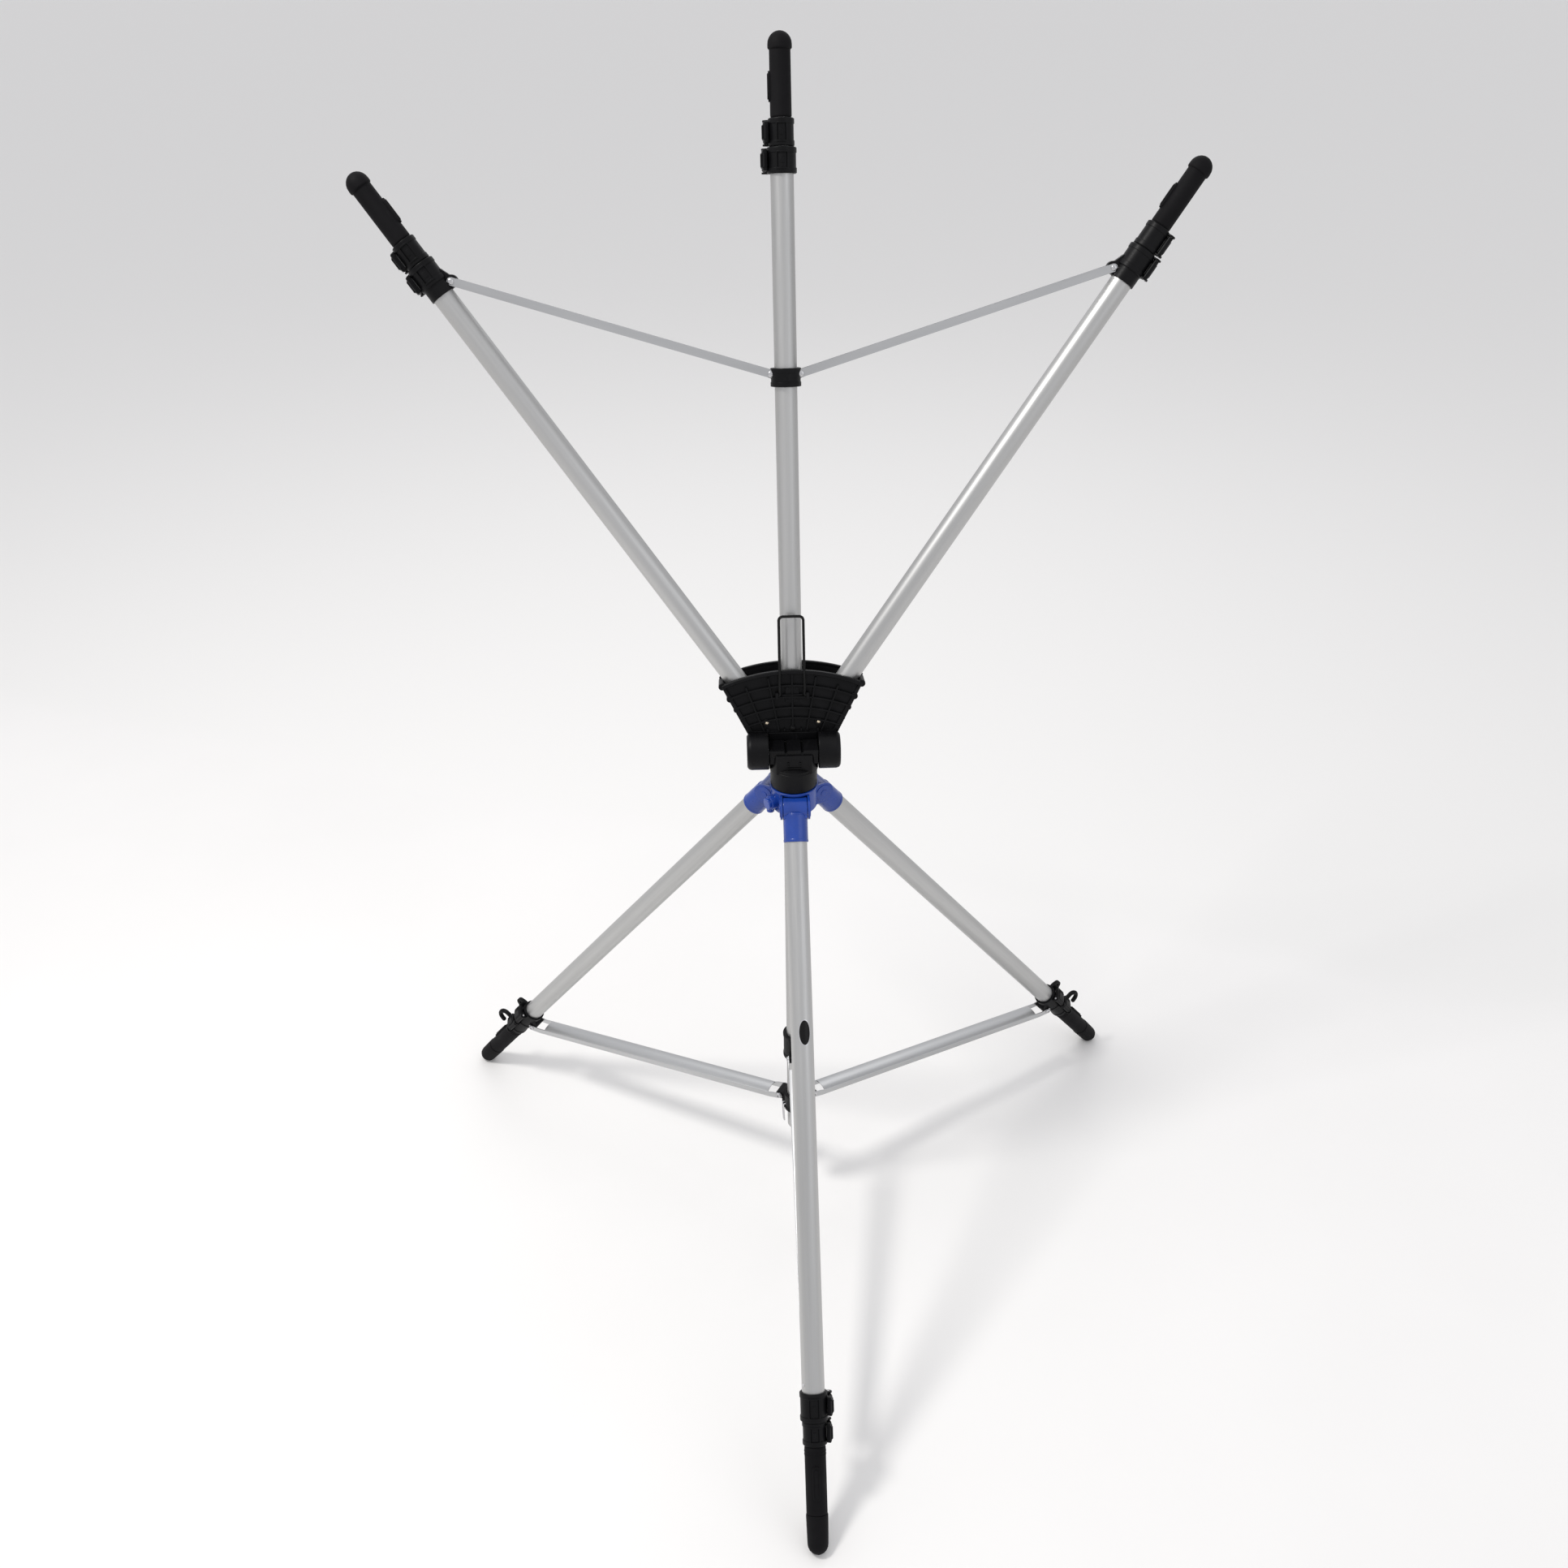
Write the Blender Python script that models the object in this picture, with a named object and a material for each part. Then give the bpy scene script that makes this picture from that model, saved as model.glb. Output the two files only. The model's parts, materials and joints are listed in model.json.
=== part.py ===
"""A folding three-arm stand on a tripod, as separate solids on their joint axes.

Lengths are written in millimetres and turned into metres as each mesh is placed.
+Z is up, the front of the stand faces -Y, and the floor is z = 0.
"""

import math

import bmesh
import bpy
from mathutils import Matrix, Vector

MM = 0.001
GAP = 0.3
SIDES = 20
SMALL_SIDES = 12

# Tripod
LEG_AZIMUTHS = {"front": -90.0, "rear_right": 30.0, "rear_left": 150.0}
LEG_LEVERS = {"front": (-90.0, 1), "rear_right": (44.0, -1), "rear_left": (-44.0, 1)}
LEG_SPLAY = 38.2
LEG_PIVOT_RADIUS = 31.0
LEG_PIVOT_HEIGHT = 667.0
MIDDLE_TUBE_START = 95.0
LAST_TUBE_START = 115.0
LOW_LUG_REACH = 15.7
FOOT_RADIUS = 12.0
FOOT_CENTRE_HEIGHT = 11.5
LEG_LENGTH = (LEG_PIVOT_HEIGHT - FOOT_CENTRE_HEIGHT) / math.cos(math.radians(LEG_SPLAY))
FOOT_CIRCLE = LEG_PIVOT_RADIUS + LEG_LENGTH * math.sin(math.radians(LEG_SPLAY))
COLUMN_Y = FOOT_CIRCLE / 4.0
LEG_TUBE = 13.1
SOCKET_RADIUS = 14.6
SOCKET_END = 40.0
BRACE_EAR = (15.8, LEG_LENGTH - 146.5)

# Column and its collars
COLUMN_RADIUS = 12.5
COLUMN_BOTTOM = 117.7
COLUMN_TOP = 659.7
COLLAR_RADIUS = 17.3
COLLAR_PIVOT_RADIUS = 22.0
LOWER_PIVOT_HEIGHT = 168.5
UPPER_PIVOT_HEIGHT = 257.5
LOWER_COLLAR = (150.0, 177.8)
UPPER_COLLAR = (247.0, 286.0)
BRACE_OPEN_END = 75.0
BRACE_HALF_WIDTH = 11.5
BRACE_SHEET = 1.3

# Tilting head
TILT_HEIGHT = 728.0
HEAD_TILT = 15.2
ARM_PLANE = -25.0
ARM_SPREAD = 34.9
ARM_PIVOT = (30.3, 31.8)
ARM_TUBE = 12.5
MID_ARM_START = 28.3
ARM_EAR = (16.5, 596.0)
SLIDE_COLLAR = (412.8, 432.8)
STRUT_PIVOT = (16.6, 426.7)
STRUT_OPEN_END = 60.0
BARREL_RADIUS = 21.7
BARREL_HALF = 54.7
NECK_HALF = 28.7
SHELL_FRONT = -8.0
SHELL_BACK = -42.0
SHELL_WALL = 3.4
BAIL_PIVOT = (14.2, 65.0)
BAIL_TOP = 157.0
BAIL_PLANE = -6.2
BAIL_WIRE = 1.5

COLOURS = {
    "aluminium": ((0.62, 0.62, 0.61, 1.0), 0.38, 1.0),
    "black_plastic": ((0.012, 0.012, 0.014, 1.0), 0.5, 0.0),
    "blue_plastic": ((0.01, 0.035, 0.38, 1.0), 0.25, 0.0),
    "rubber": ((0.015, 0.014, 0.017, 1.0), 0.8, 0.0),
    "steel": ((0.45, 0.45, 0.46, 1.0), 0.3, 1.0),
    "black_wire": ((0.01, 0.01, 0.01, 1.0), 0.35, 0.0),
}


def clear_scene():
    for thing in list(bpy.data.objects):
        bpy.data.objects.remove(thing)


def material(kind):
    """The shared Principled material of one kind of surface."""
    found = bpy.data.materials.get(kind)
    if found:
        return found
    colour, roughness, metallic = COLOURS[kind]
    made = bpy.data.materials.new(kind)
    made.use_nodes = True
    shader = made.node_tree.nodes["Principled BSDF"]
    shader.inputs["Base Color"].default_value = colour
    shader.inputs["Roughness"].default_value = roughness
    shader.inputs["Metallic"].default_value = metallic
    return made


# ---- shapes ---------------------------------------------------------------


def to_mesh(bm):
    bmesh.ops.recalc_face_normals(bm, faces=bm.faces[:])
    mesh = bpy.data.meshes.new("shape")
    bm.to_mesh(mesh)
    bm.free()
    return mesh


def skin(rings, ends_open=False):
    """A closed mesh through rings of points; flat end faces unless the rings close on themselves."""
    bm = bmesh.new()
    loops = [[bm.verts.new(point) for point in ring] for ring in rings]
    pairs = list(zip(loops, loops[1:]))
    if ends_open:
        pairs.append((loops[-1], loops[0]))
    for one, two in pairs:
        for i, vert in enumerate(one):
            after = (i + 1) % len(one)
            bm.faces.new((vert, one[after], two[after], two[i]))
    if not ends_open:
        bm.faces.new(loops[0])
        bm.faces.new(loops[-1])
    return to_mesh(bm)


def circle(radius, height, sides=SIDES):
    steps = [math.tau * i / sides for i in range(sides)]
    return [(radius * math.cos(a), radius * math.sin(a), height) for a in steps]


def turned(profile, hollow=False, sides=SIDES):
    """A profile of (radius, height) turned about local Z; hollow profiles close on themselves."""
    return skin([circle(r, z, sides) for r, z in profile], ends_open=hollow)


def tube(outer, inner, low, high):
    return turned([(outer, low), (outer, high), (inner, high), (inner, low)], hollow=True)


def moved(mesh, matrix):
    mesh.transform(matrix)
    if matrix.determinant() < 0:
        mesh.flip_normals()
    return mesh


def rod(start, end, radius, sides=SMALL_SIDES):
    """A round bar between two points."""
    start, end = Vector(start), Vector(end)
    turn = Vector((0, 0, 1)).rotation_difference(end - start).to_matrix().to_4x4()
    bar = turned([(radius, 0), (radius, (end - start).length)], sides=sides)
    return moved(bar, Matrix.Translation(start) @ turn)


def block(low, high):
    (x0, y0, z0), (x1, y1, z1) = low, high
    base = [(x0, y0), (x1, y0), (x1, y1), (x0, y1)]
    return prism(base, z0, z1)


def prism(outline, low, high, plane="xy"):
    """An outline swept straight; plane names the two axes that the outline's numbers run along."""
    place = {
        "xy": lambda a, b, c: (a, b, c),
        "xz": lambda a, b, c: (a, c, b),
        "yz": lambda a, b, c: (c, a, b),
    }[plane]
    return skin([[place(a, b, level) for a, b in outline] for level in (low, high)])


def arc(centre, radius, start, end, steps):
    """Points on an arc, angles in degrees."""
    angles = [math.radians(start + (end - start) * i / steps) for i in range(steps + 1)]
    return [(centre[0] + radius * math.cos(a), centre[1] + radius * math.sin(a)) for a in angles]


def swept(points, radius, sides=8):
    """A round wire along points, with rings carried along without twist."""
    points = [Vector(p) for p in points]
    steps = [b - a for a, b in zip(points, points[1:])]
    tangents = [steps[0]] + [a.normalized() + b.normalized() for a, b in zip(steps, steps[1:])]
    tangents.append(steps[-1])
    side = tangents[0].orthogonal().normalized()
    rings = []
    for point, tangent in zip(points, tangents):
        tangent = tangent.normalized()
        side = (side - side.dot(tangent) * tangent).normalized()
        up = tangent.cross(side)
        turns = [math.tau * i / sides for i in range(sides)]
        rings.append([point + radius * (side * math.cos(a) + up * math.sin(a)) for a in turns])
    return skin(rings)


def fuse(base, add=(), cut=()):
    """One mesh: base joined with every mesh in add, less every mesh in cut."""
    scene = bpy.context.scene.collection.objects
    worked = bpy.data.objects.new("worked", base)
    scene.link(worked)
    tools = []
    for operation, meshes in (("UNION", add), ("DIFFERENCE", cut)):
        for mesh in meshes:
            tool = bpy.data.objects.new("tool", mesh)
            tool.hide_render = True
            tool.display_type = "WIRE"
            scene.link(tool)
            tools.append(tool)
            modifier = worked.modifiers.new("shape", "BOOLEAN")
            modifier.operation = operation
            modifier.solver = "EXACT"
            modifier.object = tool
    seen = worked.evaluated_get(bpy.context.evaluated_depsgraph_get())
    result = bpy.data.meshes.new_from_object(seen)
    for thing in [worked] + tools:
        bpy.data.objects.remove(thing)
    return result


# ---- placing --------------------------------------------------------------


def frame(name, matrix):
    """An empty that carries a moving body; its origin is on the body's joint axis."""
    empty = bpy.data.objects.new(name, None)
    bpy.context.scene.collection.objects.link(empty)
    location, rotation, _ = matrix.decompose()
    empty.matrix_world = Matrix.LocRotScale(location * MM, rotation, None)
    return empty


def place(name, mesh, carrier, kind, origin=(0, 0, 0)):
    """Links a piece whose mesh is in its carrier's frame, with its own origin on its joint axis."""
    mesh.transform(Matrix.Translation(-Vector(origin)))
    mesh.transform(Matrix.Scale(MM, 4))
    mesh.name = name
    mesh.materials.clear()
    mesh.materials.append(material(kind))
    mesh.shade_smooth()
    mesh.set_sharp_from_angle(angle=math.radians(35))
    piece = bpy.data.objects.new(name, mesh)
    piece.parent = carrier
    piece.location = Vector(origin) * MM
    bpy.context.scene.collection.objects.link(piece)
    return piece


def axes(origin, x, z):
    """A frame with its local X and Z along the given directions."""
    x, z = Vector(x).normalized(), Vector(z).normalized()
    y = z.cross(x)
    turn = Matrix((x, y, z)).transposed().to_4x4()
    return Matrix.Translation(Vector(origin)) @ turn


# ---- one telescoping tube with its two flip clamps -------------------------


def lever_axis(clamp_radius, side, hand):
    """Where a lever's hinge crosses the clamp's section."""
    angle = math.radians(side - 28.0 * hand)
    reach = clamp_radius + 3.6
    return reach * math.cos(angle), reach * math.sin(angle)


def lever_ears(clamp_radius, side, hand, middle):
    """The two small ears that hold a lever's barrel."""
    x, y = lever_axis(clamp_radius, side, hand)
    spans = ((middle - 12.6, middle - 10.8), (middle + 10.8, middle + 12.6))
    return [rod((x, y, low), (x, y, high), 4.4, 10) for low, high in spans]


def low_lugs(clamp_radius, side, hand, middle):
    """The inner clamp's two low lugs, which stay inside the sweep of the outer clamp's lever."""
    turn = Matrix.Rotation(math.radians(side - 28.0 * hand), 4, "Z")
    spans = ((middle - 12.6, middle - 10.8), (middle + 10.8, middle + 12.6))
    lugs = [block((clamp_radius - 1.2, -2.4, low), (LOW_LUG_REACH, 2.4, high)) for low, high in spans]
    return [moved(lug, turn) for lug in lugs]


def lever_blade(clamp_radius, side, hand, middle):
    """The curved cam lever that lies along the clamp, with its hinge barrel."""
    inner = arc((0, 0), clamp_radius + 0.6, side - 26, side + 26, 4)
    outer = arc((0, 0), clamp_radius + 6.6, side + 22, side - 22, 4)
    blade = prism(inner + outer, middle - 10.4, middle + 10.4)
    x, y = lever_axis(clamp_radius, side, hand)
    barrel = rod((x, y, middle - 10.4), (x, y, middle + 10.4), 3.0, 10)
    return fuse(blade, add=[barrel])


def tongue(radius, side, low, high):
    """The raised strip of the spring button on a grip."""
    angle = math.radians(side)
    strip = block((radius - 2.0, -4.0, low), (radius + 2.4, 4.0, high))
    return moved(strip, Matrix.Rotation(angle, 4, "Z"))


def stepped_ring(outer, bore, inner, low, high, skirt=()):
    """A clamp's body: a ring round the outer tube whose far end closes in on the inner tube."""
    lip = high - 4.0
    edge = [(outer, low)]
    if skirt:
        edge = [(skirt[0], skirt[1]), (skirt[0], low), (outer, low)]
    foot = edge[0][1]
    profile = edge + [(outer, high), (inner, high), (inner, lip), (bore, lip), (bore, foot)]
    return turned(profile, hollow=True)


def add_lever(name, carrier, ring, side, hand):
    middle = (ring["low"] + ring["high"]) / 2
    hinge = (*lever_axis(ring["radius"], side, hand), middle)
    blade = lever_blade(ring["radius"], side, hand, middle)
    place(name, blade, carrier, "black_plastic", hinge)


def add_outer_clamp(prefix, carrier, radius, outer, side, hand, add, flats):
    """The clamp on the end of the outer tube, with its lever's ears and any lugs, bored last."""
    bore, inner_bore = radius + GAP, radius - 1.3 + GAP
    low, high = outer["low"], outer["high"]
    ring = stepped_ring(outer["radius"], bore, inner_bore, low, high, outer.get("skirt", ()))
    ears = lever_ears(outer["radius"], side, hand, (low + high) / 2)
    bores = [turned([(bore, low - 40.0), (bore, high - 4.0)])]
    bores.append(turned([(inner_bore, low - 40.0), (inner_bore, high + 10.0)]))
    clamp = fuse(ring, add=ears + add, cut=flats + bores)
    place(prefix + "_outer_clamp", clamp, carrier, "black_plastic")


def telescope(prefix, carrier, radius, start, outer, inner, side, hand, extras, bores=()):
    """Outer tube, middle tube and both clamps with their levers; extras join the two clamps."""
    middle_radius = radius - 1.3
    tip_radius = radius - 2.6
    body = tube(radius, radius - 1.0, start, outer["high"] - 4.0 - GAP)
    if bores:
        body = fuse(body, cut=bores)
    place(prefix + "_outer_tube", body, carrier, "aluminium")
    add_outer_clamp(prefix, carrier, radius, outer, side, hand, extras["add"], extras["cut"])
    add_lever(prefix + "_outer_lever", carrier, outer, side, hand)

    bore = tip_radius + GAP
    start = MIDDLE_TUBE_START
    profile = [(middle_radius, start), (middle_radius, inner["low"]), (inner["radius"], inner["low"])]
    profile += [(inner["radius"], inner["high"]), (bore, inner["high"]), (bore, start)]
    ears = low_lugs(inner["radius"], side, hand, (inner["low"] + inner["high"]) / 2)
    section = fuse(turned(profile, hollow=True), add=ears + extras["inner"])
    place(prefix + "_mid_section", section, carrier, "black_plastic")
    add_lever(prefix + "_inner_lever", carrier, inner, side, hand)


# ---- legs -------------------------------------------------------------------


def leg_matrix(azimuth):
    """Local Z runs down the leg, local X is its upper side."""
    splay = math.radians(LEG_SPLAY)
    turn = math.radians(azimuth)
    out = Vector((math.cos(turn), math.sin(turn), 0))
    up = Vector((0, 0, 1))
    pivot = out * LEG_PIVOT_RADIUS + up * LEG_PIVOT_HEIGHT + Vector((0, COLUMN_Y, 0))
    along = out * math.sin(splay) - up * math.cos(splay)
    upper = out * math.cos(splay) + up * math.sin(splay)
    return axes(pivot, upper, along)


def leg_socket():
    """The hinge eye and the sleeve that takes the leg's tube."""
    sleeve = turned([(SOCKET_RADIUS, 6.0), (SOCKET_RADIUS, SOCKET_END)])
    eye = rod((0, -14.5, 0), (0, 14.5, 0), 13.0, SIDES)
    bore = turned([(LEG_TUBE + GAP, 14.0), (LEG_TUBE + GAP, SOCKET_END + 2.0)])
    return fuse(sleeve, add=[eye], cut=[bore])


def brace_ear():
    """The wide lug under the clamp that the brace hinges on."""
    drop, station = BRACE_EAR
    lug = rod((-drop, -9.9, station), (-drop, 9.9, station), 5.6)
    web = block((-drop, -9.9, station - 5.0), (-13.7, 9.9, station + 5.0))
    return [lug, web]


def brace_flats():
    """The clamp is cut flat at both sides of the ear, where the brace's skirts pass."""
    station = BRACE_EAR[1]
    spans = ((-20.0, -9.9), (9.9, 20.0))
    return [block((-20.0, low, station - 22.0), (-6.5, high, station + 9.0)) for low, high in spans]


def eyelet():
    """A flat tab with a hole, on the upper side of a rear leg's clamp."""
    station = LEG_LENGTH - 159.0
    outline = [(14.0, station - 6.5)] + arc((23.5, station), 5.0, -90, 90, 6) + [(14.0, station + 6.5)]
    return prism(outline, -2.5, 2.5, "xz")


def bag_hook():
    """The hook that stands on a rear leg's lower clamp and curls over towards the foot."""
    station, radius, crest = LEG_LENGTH - 112.5, 8.5, 25.0
    points = [(12.0, 0.0, station), (18.0, 0.0, station)]
    for step in range(8):
        turn = math.radians(180.0 - 25.0 * step)
        rise, run = radius * math.sin(turn), radius * math.cos(turn)
        points.append((crest + rise, 0.0, station + radius + run))
    points.append((18.0, 0.0, station + 2 * radius))
    return swept(points, 3.3)


def foot_section(matrix):
    """The last tube of a leg, its grip, its spring button and its rubber foot, cut flat at the floor."""
    seam = LEG_LENGTH - 33.0
    tip_radius = LEG_TUBE - 2.6
    profile = [(tip_radius - 1.2, LEG_LENGTH - 40.0), (tip_radius - 1.2, LAST_TUBE_START)]
    profile += [(tip_radius, LAST_TUBE_START), (tip_radius, LEG_LENGTH - 108.2)]
    profile += [(12.25, LEG_LENGTH - 107.6), (12.1, seam), (12.6, seam + 0.5), (12.0, LEG_LENGTH)]
    dome = [(FOOT_RADIUS * math.cos(math.radians(a)), math.radians(a)) for a in (20, 40, 60, 80)]
    profile += [(r, LEG_LENGTH + FOOT_RADIUS * math.sin(a)) for r, a in dome]
    grip = turned(profile)
    button = tongue(12.2, 0, LEG_LENGTH - 87.0, LEG_LENGTH - 51.0)
    floor = block((-2000, -2000, -100), (2000, 2000, 0))
    return fuse(grip, add=[button], cut=[moved(floor, matrix.inverted())])


def add_leg(name, azimuth):
    matrix = leg_matrix(azimuth)
    carrier = frame(name + "_leg_frame", matrix)
    prefix = name + "_leg"
    rear = name != "front"
    side, hand = LEG_LEVERS[name]
    place(prefix + "_socket", leg_socket(), carrier, "blue_plastic")
    outer = {"radius": 16.0, "low": LEG_LENGTH - 167.4, "high": LEG_LENGTH - 135.5}
    inner = {"radius": 14.0, "low": LEG_LENGTH - 135.2, "high": LEG_LENGTH - 108.8}
    add = brace_ear() + ([eyelet()] if rear else [])
    extras = {"add": add, "cut": brace_flats(), "inner": [bag_hook()] if rear else []}
    telescope(prefix, carrier, LEG_TUBE, 14.8, outer, inner, side, hand, extras)
    place(prefix + "_foot_section", foot_section(matrix), carrier, "rubber")


# ---- braces -----------------------------------------------------------------


def channel_outline(half, top, bottom, sheet, crown):
    """An open channel's section as (across, up), its skirts pointing down."""
    shoulder = top - crown
    outer = [(-half, bottom), (-half, shoulder), (-half * 0.6, top - crown * 0.3), (0, top)]
    outer += [(half * 0.6, top - crown * 0.3), (half, shoulder), (half, bottom)]
    inner = [(half - sheet, bottom), (half - sheet, shoulder - sheet * 0.4)]
    inner += [(half * 0.5, top - crown * 0.3 - sheet), (0, top - sheet)]
    inner += [(-half * 0.5, top - crown * 0.3 - sheet), (-half + sheet, shoulder - sheet * 0.4)]
    inner += [(-half + sheet, bottom)]
    return outer + inner


def channel(start, length, half, top, bottom, sheet, crown, web_start):
    """A channel along local Z from its hinge, with its web cut back at the hinged end."""
    outline = [(up, across) for across, up in channel_outline(half, top, bottom, sheet, crown)]
    beam = prism(outline, start, length)
    notch = block((bottom - 1.0, -half + sheet + 0.2, -6.0), (top + 2.0, half - sheet - 0.2, web_start))
    return fuse(beam, cut=[notch])


def brace_geometry(azimuth, collar_height):
    """The hinge point at the leg, the direction to the collar's pivot, and the pivot distance."""
    drop, station = BRACE_EAR
    ear = leg_matrix(azimuth) @ Vector((-drop, 0, station))
    turn = math.radians(azimuth)
    out = Vector((math.cos(turn), math.sin(turn), 0))
    collar = out * COLLAR_PIVOT_RADIUS + Vector((0, COLUMN_Y, collar_height))
    return ear, collar - ear


def add_brace(name, azimuth, collar_height):
    ear, reach = brace_geometry(azimuth, collar_height)
    across = Vector((0, 0, 1)).cross(reach)
    carrier = frame(name + "_brace_frame", axes(ear, reach.cross(across), reach))
    length = reach.length - BRACE_OPEN_END
    beam = channel(-4.5, length, BRACE_HALF_WIDTH, 3.5, -6.6, BRACE_SHEET, 3.0, 24.0)
    place(name + "_brace", beam, carrier, "aluminium")


# ---- column, hub and collars -------------------------------------------------


def turn_about_column(azimuth):
    return Matrix.Rotation(math.radians(azimuth), 4, "Z")


def add_hub(carrier):
    """The blue hub: three forks round a core, with the spigot that the neck turns on."""
    radius, height = LEG_PIVOT_RADIUS, LEG_PIVOT_HEIGHT
    core = turned([(27.0, 652.0), (28.0, 654.0), (28.0, 684.0), (20.0, 684.0), (20.0, 700.0)])
    forks, slots = [], []
    for azimuth in LEG_AZIMUTHS.values():
        turn = turn_about_column(azimuth)
        cheek = block((4.0, -17.6, height - 13.5), (radius, 17.6, height + 13.5))
        knuckle = rod((radius, -17.6, height), (radius, 17.6, height), 13.5, SIDES)
        slot = block((16.3, -14.9, 630.0), (80.0, 14.9, height + 13.9))
        forks += [moved(cheek, turn), moved(knuckle, turn)]
        slots.append(moved(slot, turn))
    bore = turned([(COLUMN_RADIUS + GAP, 640.0), (COLUMN_RADIUS + GAP, COLUMN_TOP + GAP)])
    place("hub", fuse(core, add=forks, cut=slots + [bore]), carrier, "blue_plastic")


def add_hub_lock(carrier):
    """The round lock plug that sticks out of the hub between two legs."""
    plug = fuse(rod((28.5, 0, 664), (36.5, 0, 664), 6.0, 16), add=[rod((30, 0, 658), (34, 0, 658), 4.0)])
    place("hub_lock", moved(plug, turn_about_column(-150)), carrier, "blue_plastic")


def add_column(carrier):
    place("column", tube(COLUMN_RADIUS, 11.2, COLUMN_BOTTOM, COLUMN_TOP), carrier, "aluminium")
    plug = turned([(6.0, 114.0), (10.5, 114.8), (12.3, 117.4), (10.8, 117.4), (10.8, 132.0)])
    place("column_plug", plug, carrier, "black_plastic")


def collar(low, high, pivot_height, azimuths):
    """A ring that slides on the column, with a wide lug for each brace."""
    ring = tube(COLLAR_RADIUS, COLUMN_RADIUS + GAP, low, high)
    lugs = []
    for azimuth in azimuths:
        turn = turn_about_column(azimuth)
        reach = COLLAR_PIVOT_RADIUS
        lug = rod((reach, -9.9, pivot_height), (reach, 9.9, pivot_height), 5.6)
        web = block((15.0, -9.9, pivot_height - 5.6), (reach, 9.9, pivot_height + 5.6))
        lugs += [moved(web, turn), moved(lug, turn)]
    return fuse(ring, add=lugs)


def add_collars(column_matrix):
    carrier = frame("upper_collar_frame", column_matrix)
    place("upper_collar", collar(*UPPER_COLLAR, UPPER_PIVOT_HEIGHT, [-90]), carrier, "black_plastic")
    carrier = frame("lower_collar_frame", column_matrix)
    body = collar(*LOWER_COLLAR, LOWER_PIVOT_HEIGHT, [30, 150])
    hole = moved(block((15.0, -4.0, 158.0), (20.0, 4.0, 163.0)), turn_about_column(-165))
    place("lower_collar", fuse(body, cut=[hole]), carrier, "black_plastic")
    wire = [(15.8, -2.4, 160.5), (19.0, -2.4, 160.5), (19.6, -2.4, 158.0), (18.6, -2.4, 130.0)]
    wire += [(18.0, -1.4, 128.0), (18.0, 1.4, 128.0), (18.6, 2.4, 130.0), (19.6, 2.4, 158.0)]
    wire += [(19.0, 2.4, 160.5), (15.8, 2.4, 160.5)]
    clip = moved(swept(wire, 0.9), turn_about_column(-165))
    place("wire_clip", clip, carrier, "steel")


def add_neck(column_matrix):
    """The turning neck: a sleeve on the hub's spigot and the knuckle between the head's barrels."""
    carrier = frame("neck_frame", column_matrix @ Matrix.Translation((0, 0, 700)))
    base = TILT_HEIGHT - 700.0
    sleeve = turned([(27.8, -15.7), (27.8, 9.0), (27.2, 9.0), (27.2, 12.0), (22.0, 15.0)])
    knuckle = rod((-NECK_HALF, 0, base), (NECK_HALF, 0, base), BARREL_RADIUS, SIDES)
    cheeks = block((-22.0, -20.0, 4.0), (22.0, 14.0, base))
    spigot = turned([(20.3, -20.0), (20.3, 0.4)])
    pin_bore = rod((-40, 0, base), (40, 0, base), 4.3)
    shelf_cut = block((-40, -30, base + 11.0), (40, 8.0, base + 40))
    body = fuse(sleeve, add=[cheeks, knuckle], cut=[spigot, pin_bore, shelf_cut])
    place("neck", body, carrier, "black_plastic")
    pin = rod((-48.0, 0, base), (48.0, 0, base), 4.0)
    place("tilt_pin", pin, carrier, "steel", (0, 0, base))


# ---- head ---------------------------------------------------------------------


def head_matrix():
    """Local X to the right, Y up the middle arm and Z to the front, on the tilt axis."""
    tilt = math.radians(HEAD_TILT)
    forward = Vector((0, -math.cos(tilt), math.sin(tilt)))
    return axes((0, COLUMN_Y, TILT_HEIGHT), (1, 0, 0), forward)


def shell_outline(crown, shoulder):
    """The fan-shaped outline of a head shell as (across, up)."""
    foot, wide = 50.0, 83.0
    rise = crown - shoulder
    radius = (wide * wide + rise * rise) / (2 * rise)
    half = math.degrees(math.asin(wide / radius))
    top = arc((0, crown - radius), radius, 90 - half, 90 + half, 10)
    return [(-foot, 12.0), (foot, 12.0)] + top


def half_shell(crown, shoulder, face, seam):
    """One plate of the head with walls down both flanks and along its foot, open at the top."""
    wall = math.copysign(SHELL_WALL, seam - face)
    full = prism(shell_outline(crown, shoulder), min(face, seam), max(face, seam))
    inside = [(47.0, 15.0), (79.9, 78.0), (97.0, 108.0), (-97.0, 108.0), (-79.9, 78.0), (-47.0, 15.0)]
    low, high = sorted((face + wall, seam + wall))
    return full, prism(inside, low, high)


def saddle(low, high):
    """The block inside a shell that grips the middle arm's tube."""
    return block((-15.0, 46.0, low), (15.0, 60.0, high))


def mid_tube_bore():
    return rod((0, 20.0, ARM_PLANE), (0, 140.0, ARM_PLANE), ARM_TUBE + GAP, SIDES)


def rivet_posts(low, high):
    """The posts that the side arms turn on, one each side."""
    x, y = ARM_PIVOT
    return [rod((side * x, y, low), (side * x, y, high), 3.0) for side in (-1, 1)]


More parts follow.
